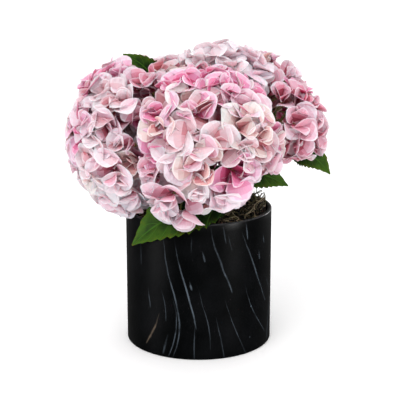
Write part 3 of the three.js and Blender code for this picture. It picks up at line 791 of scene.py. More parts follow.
# %% Leaves in place
# Each leaf is one piece: blade, petiole and the wire under its midrib. Some of its points and
# the way that it faces there are kept, so that the petals can grow clear of it.
leaf_samples, leaf_normals = [], []
rows, columns = BLADE["rows"], BLADE["columns"]
for number, (name, (base, mid, tip, look, width, full, on, along)) in enumerate(LEAVES.items()):
    base, mid, tip = (np.array(corner, float) for corner in (base, mid, tip))
    midrib = np.array([base, 2 * mid - (base + tip) / 2, tip])
    middle, face, (t, v) = leaf_blade(midrib, np.array(look), width, full, number)
    thick = BLADE["thickness"] / 2 * (1 - v ** 2) * (1 - (2 * t - 1) ** 8)
    points = sheet_points(middle[None], (face * thick[..., None])[None])[0]
    places = np.stack(np.broadcast_arrays((v + 1) / 2, t), -1)[None]
    uv = sheet_points(places, 0 * places)[0]
    blade_faces = sheet_faces(1, rows, columns).reshape(-1, 4)
    start, run = bezier(midrib, [PETIOLE["joins"]])[0], unit(midrib[1] - midrib[0])
    stalk = offshoot(boughs[on], along, bough_radius(along), start, run)
    petiole = tubes(bezier(stalk, np.linspace(0, 1, PETIOLE["rings"]))[None],
                    PETIOLE["root"] * np.linspace(1, PETIOLE["taper"], PETIOLE["rings"]),
                    PETIOLE["sides"])
    rib = bezier(midrib, np.linspace(WIRE["from"], WIRE["to"], WIRE["rings"]))
    wire = tubes(rib[None], np.linspace(WIRE["root"], WIRE["tip"], WIRE["rings"]), WIRE["sides"])
    points, groups = join([(points, [blade_faces]), petiole, wire])
    # The petiole and the wire are printed as the midrib is: one place on it is theirs.
    uv = np.concatenate([uv, np.tile([0.5, 0.4], (len(points) - len(uv), 1))])
    blade_rim = sheet_rim(1, rows, columns)
    rim = np.append(blade_rim, np.zeros(len(points) - len(blade_rim), bool))
    leaf = make_piece(f"leaf_{name}_cloth", points, groups, [leaf_cloth], uv=uv, rim=rim)
    dress(leaf, "leaf", f"leaf_{name}")
    leaf_samples.append(middle[::4, ::3].reshape(-1, 3))
    leaf_normals.append(face[::4, ::3].reshape(-1, 3))
leaf_samples, leaf_normals = np.concatenate(leaf_samples), np.concatenate(leaf_normals)
print("leaves:", len(LEAVES), "with", len(leaf_samples), "points for petals to keep clear of")

# %% [markdown]
# ## Moss
# Dark curly moss hides the foam. Hair particles could lie on a mat, but they aren't solid and
# don't last through an export. So a lumpy mat fills the pot's mouth, and some hundreds of thin
# strands curl over it. A few stray strands stand above the rim at the right. A strand is a
# three-sided tube along a wavy line, and the strands get plain colours from dry tan to nearly
# black.

# %% Moss mat
MOSS = {"edge": 129, "crown": 135, "floor": 112.3, "rings": 26, "sides": 96, "lump": 1.6,
        "fuzz": 0.6}

mat_radius = POT["radius"] - POT["wall"] - 2 * GAP


def mat_height(share):
    """The mat's smooth height at a share of its radius: highest in the middle."""
    return MOSS["edge"] + (MOSS["crown"] - MOSS["edge"]) * (1 - share ** 2)


out = np.linspace(0, 1, MOSS["rings"])[::-1]
mat_profile = np.concatenate([
    [[0, MOSS["floor"]], [mat_radius, MOSS["floor"]]],
    np.stack([mat_radius * out, mat_height(out)], 1),
])
mat_points, mat_faces = lathe(mat_profile, MOSS["sides"])
# Lumps some 20 mm apart and fuzz some 3 mm apart, each a product of sines bent by sines.
x, y, z = mat_points.T
lumps = np.sin(0.31 * x + 1.3 * np.sin(0.17 * y)) * np.cos(0.27 * y + 1.1 * np.sin(0.23 * x))
fuzz = np.sin(1.9 * x + 2.3 * np.sin(1.1 * y)) * np.sin(2.1 * y + 1.7 * np.sin(1.3 * x))
raised = z > MOSS["floor"] + 1
mat_points[:, 2] += raised * (MOSS["lump"] * lumps + MOSS["fuzz"] * fuzz)

# Dried moss: matte and tangled, with brown fibres on top; its near-black patches are partly
# the moss's own dark colour and partly painted shade in the depth of the tangle.
mat_finish, tree, shader = new_material("dried curly moss mat", Roughness=0.95)
place = add_node(tree, "ShaderNodeTexCoord").outputs["Object"]
tangle = add_node(tree, "ShaderNodeTexNoise",
                  {"Vector": place, "Scale": 420.0, "Detail": 5.0, "Distortion": 2.5})
brown = add_node(tree, "ShaderNodeValToRGB", {"Fac": tangle.outputs["Fac"]},
                 stops=[(0.4, "#0d0b07"), (0.62, "#2b241a"), (0.75, "#4c4230")])
tree.links.new(brown.outputs["Color"], shader.inputs["Base Color"])
bump = add_node(tree, "ShaderNodeBump", {"Height": tangle.outputs["Fac"], "Distance": 0.0015})
tree.links.new(bump.outputs["Normal"], shader.inputs["Normal"])
dress(make_piece("moss_mat", mat_points, mat_faces, [mat_finish]), "moss", "moss")

# %% Moss strands
STRANDS = {"count": 900, "stray": 56, "rings": 9, "sides": 3, "radius": 0.8, "sunk": 0.8,
           "ripple": 0.8, "inside": 2.0, "turned": 3.1}
# Ranges in mm and radians, for strands that lie on the mat and for the stray ones at the right.
LYING = {"away": (16, 53), "length": (11, 14), "height": (2.0, 5.5), "curl": 2.8}
STRAY = {"angle": (-0.35, 1.0), "away": (54, 13), "length": (26, 12), "height": (13, 12),
         "curl": 1.4}
PILE = {"height": 4, "towards": 0.6, "from": 5, "to": 60}  # the moss is heaped up at the right

item = np.arange(STRANDS["count"])
stray = item < STRANDS["stray"]
angle = np.where(stray, between(STRAY["angle"], chance(item, 1)), item * GOLDEN_ANGLE)
away = np.where(stray, between(STRAY["away"], chance(item, 2)),
                between(LYING["away"], np.sqrt(chance(item, 2))))
heading = angle + np.pi / 2 + spread(item, 4, STRANDS["turned"])
length = np.where(stray, between(STRAY["length"], chance(item, 5)),
                  between(LYING["length"], chance(item, 5)))
pile = PILE["height"] * smoothstep(away * np.cos(angle - PILE["towards"]), PILE["from"],
                                   PILE["to"])
height = np.where(stray, between(STRAY["height"], chance(item, 6)),
                  between(LYING["height"], chance(item, 6)) + pile)
s = np.linspace(0, 1, STRANDS["rings"])
curl = np.where(stray, STRAY["curl"], LYING["curl"])[:, None] * (chance(item, 7)[:, None] - 0.5)
bearing = heading[:, None] + 2 * curl * s + 0.5 * np.sin(9 * s + 6 * chance(item, 8)[:, None])
step = length[:, None] / STRANDS["rings"]
run_x = np.cumsum(np.cos(bearing) * step, axis=1)
run_y = np.cumsum(np.sin(bearing) * step, axis=1)
strand_x = (away * np.cos(angle))[:, None] + run_x - run_x[:, STRANDS["rings"] // 2, None]
strand_y = (away * np.sin(angle))[:, None] + run_y - run_y[:, STRANDS["rings"] // 2, None]
arch = np.where(stray[:, None], s ** 0.8, np.sin(np.pi * s))
ripple = STRANDS["ripple"] * np.sin(14 * s + 6 * chance(item, 9)[:, None])
reach = np.hypot(strand_x, strand_y)
held = np.minimum(1, (mat_radius - STRANDS["inside"]) / reach)
strand_x, strand_y = strand_x * held, strand_y * held
ground = mat_height(np.hypot(strand_x, strand_y) / mat_radius)
strand_z = ground - STRANDS["sunk"] + arch * height[:, None] + ripple
paths = np.stack([strand_x, strand_y, strand_z], -1)
thickness = STRANDS["radius"] * between((0.75, 0.6), chance(item, 10))[:, None] * (1 - 0.5 * s)
points, faces = tubes(paths, thickness, STRANDS["sides"])
print("strands:", len(paths), "of which", STRANDS["stray"], "stray")

# %% Moss colours
MOSS_COLOURS = ["#15120d", "#2a2318", "#54482f", "#1c1a12",
                "#7d6f55", "#b0a182", "#5f5b36", "#0e0d0a"]
moss_fibres = []
for number, colour in enumerate(MOSS_COLOURS):
    fibre, tree, shader = new_material(f"dried moss fibre {number + 1}", Base_Color=linear(colour))
    grain = add_node(tree, "ShaderNodeTexNoise", {"Scale": 1500.0, "Detail": 2.0,
                     "Vector": add_node(tree, "ShaderNodeTexCoord").outputs["Object"]})
    rough = add_node(tree, "ShaderNodeMapRange", {"Value": grain.outputs["Fac"], "To Min": 0.6})
    tree.links.new(rough.outputs[0], shader.inputs["Roughness"])
    bump = add_node(tree, "ShaderNodeBump", {"Height": grain.outputs["Fac"], "Distance": 0.0002})
    tree.links.new(bump.outputs["Normal"], shader.inputs["Normal"])
    moss_fibres.append(fibre)
kind = np.floor(chance(item, 11) * len(MOSS_COLOURS)).astype(int)
# A strand's colour goes to its side faces and then to its two caps.
side_faces = (STRANDS["rings"] - 1) * STRANDS["sides"]
kinds = np.concatenate([np.repeat(kind, side_faces), np.tile(kind, 2)])
strands = make_piece("moss_strands", points, faces, moss_fibres, kinds=kinds)
dress(strands, "moss", "moss")

# %% [markdown]
# ## Petal cloth
# The petals are dyed polyester. The dye runs from rose at the claw to nearly white at the rim.
# A ramp along each petal could draw that, but plain colours bake and travel best, so the cloth
# comes in short rows of plain colours, and each face of a petal takes the colour of its place.
# Four rows keep florets apart: rose, pink, blush and cream. The weave shows as fine roughness
# and bump, drawn about three times coarser than real thread, so that it shows at all.

# %% Petal colours
DYES = {
    "rose": ["#a83a60", "#c2557c", "#d26f94", "#dc89a9",
             "#e4a0bb", "#eab5cb", "#eec7d8", "#f0d5e1"],
    "pink": ["#a04a5c", "#be6a7d", "#cf879a", "#d9a0b0",
             "#e0b3c2", "#e6c4d0", "#eacfda", "#edd9e2"],
    "blush": ["#a75f66", "#c3828b", "#d19ca5", "#dbb0b8",
              "#e2c0c8", "#e7ccd3", "#ebd6dd", "#eedfe5"],
    "cream": ["#a9636a", "#c28489", "#d1a2a2", "#dcb7b5",
              "#e4c7c5", "#e9d3d1", "#eddddb", "#f0e5e3"],
}
SHADES = len(DYES["rose"])

# Light passes a little way through the thin cloth, and comes out warmer.
petal_cloth = []
for dye, colours in DYES.items():
    for number, colour in enumerate(colours):
        cloth, tree, shader = new_material(f"dyed polyester petal cloth {dye} {number + 1}",
                                           Base_Color=linear(colour), IOR=1.46,
                                           Specular_IOR_Level=0.15, Subsurface_Weight=0.5,
                                           Subsurface_Radius=(1.0, 0.5, 0.5),
                                           Subsurface_Scale=0.002)
        place = add_node(tree, "ShaderNodeTexCoord").outputs["Object"]
        weave = add_node(tree, "ShaderNodeTexNoise", {"Vector": place, "Scale": 1100.0,
                         "Detail": 1.0})
        rough = add_node(tree, "ShaderNodeMapRange", {"Value": weave.outputs["Fac"], "To Min": 0.6,
                         "To Max": 0.85})
        tree.links.new(rough.outputs[0], shader.inputs["Roughness"])
        flat = add_node(tree, "ShaderNodeUVMap", uv_map="UVMap").outputs["UV"]
        fans = add_node(tree, "ShaderNodeTexWave", {"Vector": flat, "Scale": 2.6,
                        "Distortion": 1.2, "Detail": 1.0}, bands_direction="X")
        relief = add_node(tree, "ShaderNodeMath", {0: weave.outputs["Fac"], 1: 0.4,
                          2: fans.outputs["Fac"]}, operation="MULTIPLY_ADD")
        bump = add_node(tree, "ShaderNodeBump", {"Height": relief.outputs[0], "Strength": 0.35,
                        "Distance": 0.0004})
        tree.links.new(bump.outputs["Normal"], shader.inputs["Normal"])
        petal_cloth.append(cloth)
print("petal cloths:", len(petal_cloth))

# %% [markdown]
# ## Blooms
# A bloom is a ball of florets. Florets are dealt over a cap about the way the bloom faces, a
# golden angle apart, so none hides another. Where two blooms press on each other a flat plane
# parts them, and florets near it are drawn in, turned away from it and closed up. Scattering
# one floret with a particle system would be quicker, but its copies would run through each
# other and through the leaves at every such plane.

# %% How blooms share the space
# Area in mm^2, how deep a floret's root lies, by how much that varies, room to the neighbour's
# plane, scatter, the least depth, degrees past the bloom's opening, mm past its radius, and how
# far out in front a floret feels its neighbour.
FLORET = {"area": 360, "rise": 20, "uneven": 8, "elbow": 6, "scatter": 0.13, "core": 0.45,
          "skirt": 8, "beyond": 3.5, "feels": 25}
STEEPEST_LEAN = 0.05  # the least cosine to a neighbour's plane that a floret is drawn in by
# Where a bloom swells out of its ball: the way to it, its width in degrees and its rise in mm.
SHOULDERS = {0: ((-0.25, -0.62, -0.74), 36, 8), 1: ((-0.5, -0.1, 0.86), 26, 5)}


def swell(number, way):
    """How far a bloom swells out of its ball, in mm: its rise times a smooth step of the cosine
    between the way and the middle of its shoulder."""
    if number not in SHOULDERS:
        return np.zeros(len(way))
    middle, width, rise = SHOULDERS[number]
    return rise * smoothstep(way @ unit(np.array(middle)), math.cos(math.radians(width)), 1)


def nearest_side(points, number):
    """How far points lie inside a bloom's own space, and the way to the neighbour that is
    nearest. A neighbour's plane is where |p - c|^2 - r^2 is the same for both balls, so its
    distance is half the difference of those over the distance between the centres."""
    others = np.delete(np.arange(len(RADII)), number)
    power = ((points[..., None, :] - CENTRES) ** 2).sum(-1) - RADII ** 2
    apart = CENTRES[others] - CENTRES[number]
    length = np.linalg.norm(apart, axis=1)
    distance = (power[..., others] - power[..., number, None]) / (2 * length)
    which = distance.argmin(-1)
    nearest = np.take_along_axis(distance, which[..., None], -1)[..., 0]
    return nearest, (apart / length[:, None])[which]


def floret_roots(number, opening, turn, share_of_radius, area, elbow, seed_step):
    """Where a bloom's florets sit and which way they look. The level falls evenly from the pole
    of the cap to its rim, so each floret has the same area, and the golden angle turns it. A
    floret too near a neighbour's plane is drawn in, in three steps, and turned away from it."""
    radius = RADII[number] * share_of_radius - FLORET["rise"]
    fall = 1 - math.cos(math.radians(opening + FLORET["skirt"]))
    cap = 2 * math.pi * fall * radius ** 2
    index = np.arange(round(cap / area))
    seed = index + 100 * turn + seed_step
    first, second = square_to(FACINGS[number])
    level = 1 - fall * (index + 0.5) / len(index)
    ring = np.sqrt(1 - level ** 2)
    angle = index * GOLDEN_ANGLE + turn
    east = ring * np.cos(angle) + spread(seed, 1, FLORET["scatter"])
    north = ring * np.sin(angle) + spread(seed, 2, FLORET["scatter"])
    way = unit(level[:, None] * FACINGS[number] + east[:, None] * first + north[:, None] * second)
    depth = radius + spread(seed, 3, FLORET["uneven"] / 2)
    for _ in range(3):
        inside, towards = nearest_side(CENTRES[number] + way * depth[:, None], number)
        lean = np.maximum(dot(way, towards)[:, 0], STEEPEST_LEAN)
        depth -= np.clip(elbow - inside, 0, None) / lean
    depth += swell(number, way)
    kept = depth > FLORET["core"] * share_of_radius * RADII[number]
    way, depth, seed = way[kept], depth[kept], seed[kept]
    root = CENTRES[number] + way * depth[:, None]
    inside, towards = nearest_side(root + way * FLORET["feels"], number)
    crowding = np.clip(1 - inside / FLORET["feels"], 0, 1)[:, None]
    face = unit(way - towards * crowding * dot(way, towards))
    return root, face, way, seed


# %% [markdown]
# ## Petals
# A floret is four petals in two crossed pairs, one pair lower and flatter than the other, on a
# pedicel from one of the bloom's main branches. The outer florets have two small darker petals
# more, which stand in their middle: their colour is partly a rosier dye and partly painted
# shade. Each petal is a disc of cloth drawn out to a claw, cupped, bent back and ruffled. Cloth
# simulation could crease them, but there are thousands, so the creases are a few sines with
# their own seeds. A petal that has no room is tried again steeper, flatter or smaller, and left
# out at last.

# %% Petal shape
# Sizes in mm. The claw is a share of the width, and the petal is full from a share of its length.
PETAL = {"rows": 8, "columns": 7, "length": 30, "width": 31, "thickness": 0.45, "claw": 0.16,
         "full": 0.72, "cup": 0.18, "bend": 0.22, "ruffle": 1.2, "crimp": 0.4, "wavy": 0.04}
# By how much one petal differs from the next, either way.
PETAL_VARIES = {"width": 0.1, "cup": 0.16, "bend": 0.2, "twist": 0.12, "size": 0.1,
                "heading": 0.16, "rise": 14, "floret_rise": 12}
HEMMED = 0.999  # leaves the rim a trace of thickness, so that its two sides don't meet

# A disc on a square grid: its corners are drawn in, and its rings lie closer at the rim.
grid_x = np.sin(np.linspace(-1, 1, PETAL["rows"]) * np.pi / 2)[:, None]
grid_y = np.sin(np.linspace(-1, 1, PETAL["columns"]) * np.pi / 2)[None]
disc_x = grid_x * np.sqrt(1 - grid_y ** 2 / 2)
disc_y = grid_y * np.sqrt(1 - grid_x ** 2 / 2)
disc_rim = np.clip(disc_x ** 2 + disc_y ** 2, 0, 1)


def petal_surfaces(root, face, heading, rise, size, seed):
    """Middle surface and thickness of many petals. A disc is drawn out to the petal: share runs
    from claw to tip, the width narrows to the claw, and a wave sin(4 angle) draws the outline
    out and in. Height over the chord is cup across^2 - bend share^2, plus ruffles
    sin(3 angle) and sin(5 angle) that grow to the rim, and a small twist."""
    wide = (slice(None), None, None)
    along = heading * np.cos(rise) + face * np.sin(rise)
    inward = face * np.cos(rise) - heading * np.sin(rise)
    side = np.cross(along, inward)
    long = (PETAL["length"] * size)[wide]
    half = (PETAL["width"] / 2 * size * (1 + spread(seed, 11, PETAL_VARIES["width"])))[wide]
    angle = np.arctan2(disc_y, disc_x)
    wave = np.sin(4 * angle + TURN * chance(seed, 17)[wide]) * disc_rim ** 2
    share = (1 + disc_x * (1 + PETAL["wavy"] * wave)) / 2
    narrow = PETAL["claw"] + (1 - PETAL["claw"]) * smoothstep(share, 0, PETAL["full"])
    across = disc_y * narrow * half * (1 - PETAL["wavy"] * wave)
    ruffle = PETAL["ruffle"] * np.sin(3 * angle + TURN * chance(seed, 12)[wide]) * disc_rim ** 2
    crimp = PETAL["crimp"] * np.sin(5 * angle + TURN * chance(seed, 13)[wide]) * disc_rim ** 3
    ruffle = ruffle + crimp
    cup = (PETAL["cup"] + spread(seed, 14, PETAL_VARIES["cup"]))[wide]
    bend = (PETAL["bend"] + spread(seed, 15, PETAL_VARIES["bend"]))[wide]
    height = cup * across ** 2 / half - bend * long * share ** 2 + ruffle
    height = height + spread(seed, 16, PETAL_VARIES["twist"])[wide] * across * share
    middle = (root[wide] + along[wide] * (long * share)[..., None]
              + side[wide] * across[..., None] + inward[wide] * height[..., None])
    thick = PETAL["thickness"] / 2 * np.sqrt(1 - disc_rim * HEMMED)
    return middle, inward[wide] * thick[..., None]


print("petal:", PETAL["length"], "mm long,", PETAL["width"], "mm wide, grid", disc_rim.shape)

# %% What petals keep clear of
# Below the blooms at the right the moss and two leaves lie open: the lowest that a petal may
# hang there, in mm. Clefts between blooms stay open too: mouth, end and radius of each.
WINDOW = {"x": 12, "y": 22, "low": 160, "high": 190, "from": 42, "to": 58}
CLEFTS = [((71, -62, 243), (73, -15, 234), 10), ((-56, -50, 303), (-57, 2, 287), 9),
          ((-49, -50, 291), (-50, 2, 277), 4)]
CLEAR = {"near": 8, "of_leaf": 1, "of_pot": 1}  # mm
TRIED_ROWS = [0, 2, 5, 7]  # rows of a petal's grid that are tried, in every second column
BLOCK = 20000  # points that are measured at once, to save memory


def from_leaves(points):
    """Each point's distance to the nearest leaf sample, and its height over the leaf there."""
    distance, height = np.empty(len(points)), np.empty(len(points))
    for start in range(0, len(points), BLOCK):
        block = points[start:start + BLOCK]
        squared = ((block ** 2).sum(1)[:, None] - 2 * block @ leaf_samples.T
                   + (leaf_samples ** 2).sum(1)[None])
        nearest = squared.argmin(1)
        over = (block - leaf_samples[nearest]) * leaf_normals[nearest]
        distance[start:start + BLOCK] = np.sqrt(np.clip(squared.min(1), 0, None))
        height[start:start + BLOCK] = over.sum(1)
    return distance, height


def in_open_place(points):
    """True for each petal with a point in the window below the blooms or in a cleft. A cleft is
    a rounded bore: all points nearer to its line than its radius."""
    floor_there = WINDOW["low"] + (WINDOW["high"] - WINDOW["low"]) * smoothstep(
        points[..., 0], WINDOW["from"], WINDOW["to"])
    inside = ((points[..., 0] > WINDOW["x"]) & (points[..., 1] < WINDOW["y"])
              & (points[..., 2] < floor_there)).any(-1)
    for mouth, end, radius in CLEFTS:
        line = np.subtract(end, mouth, dtype=float)
        along = np.clip((points - mouth) @ line / (line @ line), 0, 1)
        from_cleft = np.linalg.norm(points - mouth - along[..., None] * line, axis=-1)
        inside |= (from_cleft < radius).any(-1)
    return inside


def crossed(surfaces):
    """True for each petal that meets a leaf, the pot or an open place, judged by some of its
    points. A leaf is met where a petal has points close to it on both its sides, or nearly on
    it."""
    picked = surfaces[..., TRIED_ROWS, :, :][..., ::2, :]
    picked = picked.reshape(*surfaces.shape[:-3], -1, 3)
    distance, height = from_leaves(picked.reshape(-1, 3))
    near = distance.reshape(picked.shape[:-1]) < CLEAR["near"]
    height = height.reshape(picked.shape[:-1])
    both_sides = (near & (height > 0)).any(-1) & (near & (height < 0)).any(-1)
    on_leaf = (near & (np.abs(height) < CLEAR["of_leaf"])).any(-1)
    from_axis = np.hypot(picked[..., 0], picked[..., 1])
    in_pot = ((from_axis < POT["radius"] + CLEAR["of_pot"])
              & (picked[..., 2] < POT["height"] + CLEAR["of_pot"])).any(-1)
    return both_sides | on_leaf | in_pot | in_open_place(picked)


# %% Petals of one layer
# A floret's petals: place in quarter turns, rise in degrees, mm above the root, size, seed and
# tone. The first four are the crossed pairs, and two more stand inside an outer floret. Their
# darker tone is partly a rosier dye and partly painted shade in the floret's hollow.
WHORL = np.array([(0, 45, 0.0, 1.0, 0.0, 0.0), (1, 62, 0.8, 1.0, 0.25, 0.0),
                  (2, 45, 0.0, 1.0, 0.5, 0.0), (3, 62, 0.8, 1.0, 0.75, 0.0),
                  (0.5, 80, 1.4, 0.72, 0.4, -1.6), (2.5, 80, 1.4, 0.72, 0.9, -1.6)])
CROSSED_PAIRS = 4
# How a petal is tried: degrees more that it rises, and its size, until one has room.
TRIES = [(0, 1), (14, 1), (-14, 1), (28, 0.95), (0, 0.86), (28, 0.86), (42, 0.8), (14, 0.7),
         (50, 0.62)]
STEEPEST = 86  # degrees that a petal may rise
PAST_PLANE = 0.5  # mm that it may reach past a neighbour's plane


def layer_petals(number, opening, turn, layer):
    """The petals of one layer of a bloom that have room, each in the first try that has. Gives
    their surfaces, offsets, seeds, floret seeds and tones, then the root, way and face of each
    floret that keeps a petal, or None where the layer has no florets."""
    # The layer's paleness is painted shade: inner layers are dealt darker shades.
    share_of_radius, area, elbow, layer_size, seed_step, layer_painted_shade = layer
    root, face, way, seed = floret_roots(number, opening, turn, share_of_radius, area, elbow,
                                         seed_step)
    if len(root) == 0:
        return None
    east, north = square_to(face)
    plan = WHORL if seed_step == 0 else WHORL[:CROSSED_PAIRS]
    floret = np.repeat(np.arange(len(root)), len(plan))
    # The last column darkens the two inner petals: partly a rosier dye, partly painted shade.
    quarter, rise, above, share, own, inner_dye_and_shade = np.tile(plan, (len(root), 1)).T
    petal_seed = seed[floret] + own + 17
    heading = ((chance(seed[floret], 4) + quarter) * np.pi / 2
               + spread(petal_seed, 5, PETAL_VARIES["heading"]))
    towards = np.cos(heading)[:, None] * east[floret] + np.sin(heading)[:, None] * north[floret]
    steep = (rise + spread(petal_seed, 6, PETAL_VARIES["rise"])
             + spread(seed[floret], 8, PETAL_VARIES["floret_rise"]))
    size = layer_size * share * (1 + spread(petal_seed, 7, PETAL_VARIES["size"]))
    lifted = root[floret] + face[floret] * above[:, None]
    tries = [petal_surfaces(lifted, face[floret], towards,
                            np.radians(np.minimum(steep + lift, STEEPEST))[:, None],
                            size * shrink, petal_seed) for lift, shrink in TRIES]
    surfaces, offsets = (np.stack(arrays) for arrays in zip(*tries))
    inside, _ = nearest_side(surfaces, number)
    reach = np.linalg.norm(surfaces - CENTRES[number], axis=-1).max((-1, -2))
    limit = RADII[number] + FLORET["beyond"] + swell(number, way)[floret]
    fits = (inside.min((-1, -2)) > -PAST_PLANE) & (reach < limit) & ~crossed(surfaces)
    kept = np.flatnonzero(fits.any(0))
    chosen = fits.argmax(0)[kept]
    whole = np.unique(floret[kept])
    return (surfaces[chosen, kept], offsets[chosen, kept], petal_seed[kept], seed[floret[kept]],
            layer_painted_shade + inner_dye_and_shade[kept], root[whole], way[whole], face[whole])


# %% Colours of one bloom's petals
TINTS = {  # how likely rose, pink, blush and cream are in each bloom, and how pale it is
    "front": (0.24, 0.28, 0.3, 0.18, 0.0), "left": (0.16, 0.3, 0.38, 0.16, 0.4),
    "top": (0.12, 0.38, 0.44, 0.06, 2.5), "right": (0.1, 0.38, 0.44, 0.08, -0.2),
    "back_left": (0.14, 0.36, 0.35, 0.15, 0.8), "back_right": (0.14, 0.4, 0.4, 0.06, 0.9),
}
# Painted light: petals low on the blooms are dealt paler shades, to lift the shade that falls
# under the blooms.
PAINTED_LIGHT_LOW = {"from": 160, "to": 205, "paler": 3.3}  # low petals are paler: heights in mm, and tones
# Tones along a petal: gained up to the tip, lost at the claw, and gained at the rim. Then how
# much petals and florets differ, and from where to where the tip's and the rim's tones come.
TONE = {"tip": 6.2, "claw": 1.4, "rim": 2.1, "petal": 0.9, "floret": 1.1}
PALES = {"tip": (-0.1, 1.0), "rim": (0.7, 0.9)}


def petal_kinds(name, surfaces, petal_seeds, floret_seeds, tones):
    """Which cloth each face of each petal takes: eight shades for each dye. The shade is the
    place between claw, tip and rim, plus chance for the petal and for its floret, plus how pale
    the bloom is, less the darker tone of the inner layers and inner petals (painted shade, and
    for the inner petals a rosier dye too), plus painted light that makes low petals paler. The
    floret's chance among the tints picks the dye."""
    share = ((disc_x[:-1, :-1] + disc_x[1:, 1:]) / 4 + 0.5).ravel()
    rim = ((disc_rim[:-1, :-1] + disc_rim[1:, 1:] + disc_rim[:-1, 1:] + disc_rim[1:, :-1])
           / 4).ravel()
    depth = (TONE["tip"] * smoothstep(share, *PALES["tip"]) - TONE["claw"]
             + TONE["rim"] * smoothstep(rim, *PALES["rim"]))
    tone = (depth[None] + spread(petal_seeds, 21, TONE["petal"])[:, None]
            + spread(floret_seeds, 22, TONE["floret"])[:, None])
    height = surfaces[:, PETAL["rows"] // 2, PETAL["columns"] // 2, 2]
    # Painted light: the lower a petal hangs, the paler the shades it is dealt.
    low = 1 - smoothstep(height, PAINTED_LIGHT_LOW["from"], PAINTED_LIGHT_LOW["to"])
    tone = tone + (tones + TINTS[name][4] + PAINTED_LIGHT_LOW["paler"] * low)[:, None]
    shade = np.clip(np.round(tone), 0, SHADES - 1).astype(int)
    limits = np.cumsum(TINTS[name][:3])
    dye = (chance(floret_seeds, 23)[:, None] > limits).sum(1)
    return np.repeat((dye[:, None] * SHADES + shade)[:, None], 2, axis=1).ravel()


# %% Branches and pedicels of one bloom
BRANCH = {"count": 9, "cap": 0.8, "reach": 0.36, "clear": 4, "arch": 4, "sunk": 2,
          "root": 1.9, "tip": 1.5, "rings": 9, "sides": 6}
HUB = {"back": 0.2, "root": 2.5, "tip": 2.6, "rings": 9, "sides": 10}
PEDICEL = {"bow": 1.5, "lift": 0.1, "into": 0.6, "root": 0.8, "tip": 1.15, "rings": 6, "sides": 5}


def bloom_stems(number, opening, roots, ways, looks):
    """A bloom's stalk from its bough to a hub, branches from the hub over a cap, a golden angle
    apart, and a pedicel from the nearest branch's end to each floret's root."""
    centre, facing, radius = CENTRES[number], FACINGS[number], RADII[number]
    hub = centre - facing * radius * HUB["back"]
    stalk_path = bezier(np.array([ENTRIES[number] + facing * GAP, hub]),
                        np.linspace(0, 1, HUB["rings"]))[None]
    stalk = tubes(stalk_path, np.linspace(HUB["root"], HUB["tip"], HUB["rings"]), HUB["sides"])

    branch = np.arange(BRANCH["count"])
    first, second = square_to(facing)
    fall = 1 - math.cos(math.radians(opening * BRANCH["cap"]))
    level = 1 - fall * (branch + 0.5) / BRANCH["count"]
    ring = np.sqrt(1 - level ** 2)
    spoke = (level[:, None] * facing + (ring * np.cos(branch * GOLDEN_ANGLE))[:, None] * first
             + (ring * np.sin(branch * GOLDEN_ANGLE))[:, None] * second)
    ends = centre + spoke * radius * BRANCH["reach"]
    inside, towards = nearest_side(ends, number)
    ends = ends - towards * np.clip(BRANCH["clear"] - inside, 0, None)[:, None]
    controls = [np.tile(hub - facing * BRANCH["sunk"], (BRANCH["count"], 1)),
                (hub + ends) / 2 + facing * BRANCH["arch"], ends]
    branches = tubes(bezier(np.stack(controls, 1), np.linspace(0, 1, BRANCH["rings"])),
                     np.linspace(BRANCH["root"], BRANCH["tip"], BRANCH["rings"]), BRANCH["sides"])

    nearest = ((roots[:, None] - ends[None]) ** 2).sum(-1).argmin(1)
    from_points = ends[nearest]
    bow = ((from_points + roots) / 2 - ways * PEDICEL["bow"]
           + (roots - from_points) * PEDICEL["lift"])
    controls = [from_points, bow, roots + looks * PEDICEL["into"]]
    pedicels = tubes(bezier(np.stack(controls, 1), np.linspace(0, 1, PEDICEL["rings"])),
                     np.linspace(PEDICEL["root"], PEDICEL["tip"], PEDICEL["rings"]),
                     PEDICEL["sides"])
    return join([stalk, branches, pedicels])


# %% Pedicel and centre plastic
# Moulded polyethylene again: olive and matte on the pedicels, brown in the florets' middles.
pedicel_finish, tree, shader = new_material("moulded olive plastic pedicel", IOR=1.5)
place = add_node(tree, "ShaderNodeTexCoord").outputs["Object"]
streak = add_node(tree, "ShaderNodeTexNoise", {"Vector": place, "Scale": 500.0, "Detail": 2.0})
olive = add_node(tree, "ShaderNodeValToRGB", {"Fac": streak.outputs["Fac"]},
                 stops=[(0.3, "#4a4a22"), (0.7, "#8f8a55")])
tree.links.new(olive.outputs["Color"], shader.inputs["Base Color"])
centre_finish, tree, shader = new_material("moulded brown floret centre", IOR=1.5)
place = add_node(tree, "ShaderNodeTexCoord").outputs["Object"]
speck = add_node(tree, "ShaderNodeTexNoise", {"Vector": place, "Scale": 700.0, "Detail": 2.0})
brown = add_node(tree, "ShaderNodeValToRGB", {"Fac": speck.outputs["Fac"]},
                 stops=[(0.35, "#3d2f16"), (0.65, "#8a7a35")])
tree.links.new(brown.outputs["Color"], shader.inputs["Base Color"])
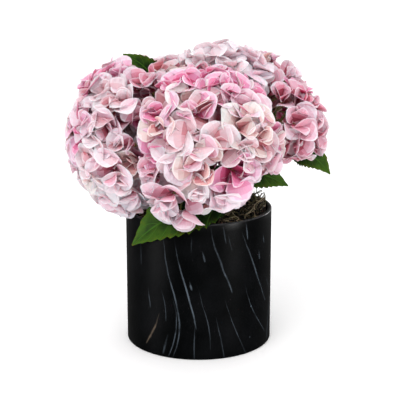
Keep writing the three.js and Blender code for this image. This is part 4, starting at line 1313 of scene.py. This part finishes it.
print("finishes:", pedicel_finish.name, "and", centre_finish.name)

# %% Blooms in place
# A layer's share of the radius, area per floret, elbow room, petal size, seeds and paleness.
# The inner layers are less pale: painted shade in the depth of the bloom.
LAYERS = [(1.0, FLORET["area"], FLORET["elbow"], 1.0, 0, 0.0), (0.84, 620, 5, 0.85, 5000, -1.6),
          (0.62, 850, 4, 0.7, 9000, -2.2)]
BEAD = {"from": -0.5, "to": 4.2, "sides": 6, "radii": np.array([1.0, 1.9, 2.2, 1.9, 1.3, 0.4])}

rows, columns = PETAL["rows"], PETAL["columns"]
PLEATS_FROM = 1.15  # half lengths from the middle back to the point that the pleats fan out from
# Where each point of a petal lies on its fan of pleats: the angle about that point, and the
# share of the length.
fan = np.stack([np.arctan2(disc_y, PLEATS_FROM + disc_x), (1 + disc_x) / 2], -1)
for number, (name, (_, _, _, opening, _, turn)) in enumerate(BLOOMS.items()):
    layers = [layer_petals(number, opening, turn, layer) for layer in LAYERS]
    surfaces, offsets, petal_seeds, floret_seeds, tones, roots, ways, looks = (
        np.concatenate(arrays) for arrays in zip(*(layer for layer in layers if layer)))

    count = len(surfaces)
    fans = np.broadcast_to(fan, (count, rows, columns, 2))
    petals = make_piece(f"petals_{name}", sheet_points(surfaces, offsets).reshape(-1, 3),
                        [sheet_faces(count, rows, columns).reshape(-1, 4)], petal_cloth,
                        kinds=petal_kinds(name, surfaces, petal_seeds, floret_seeds, tones),
                        uv=sheet_points(fans, 0 * fans).reshape(-1, 2),
                        rim=sheet_rim(count, rows, columns))
    dress(petals, "petal", f"bloom_{name}")

    points, faces = bloom_stems(number, opening, roots, ways, looks)
    pedicels = make_piece(f"pedicels_{name}", points, faces, [pedicel_finish])
    dress(pedicels, "stem", f"bloom_{name}")

    bead = np.linspace(BEAD["from"], BEAD["to"], len(BEAD["radii"]))
    bead_paths = roots[:, None] + looks[:, None] * bead[:, None]
    points, faces = tubes(bead_paths, BEAD["radii"], BEAD["sides"])
    centres = make_piece(f"centres_{name}", points, faces, [centre_finish])
    dress(centres, "stem", f"bloom_{name}")
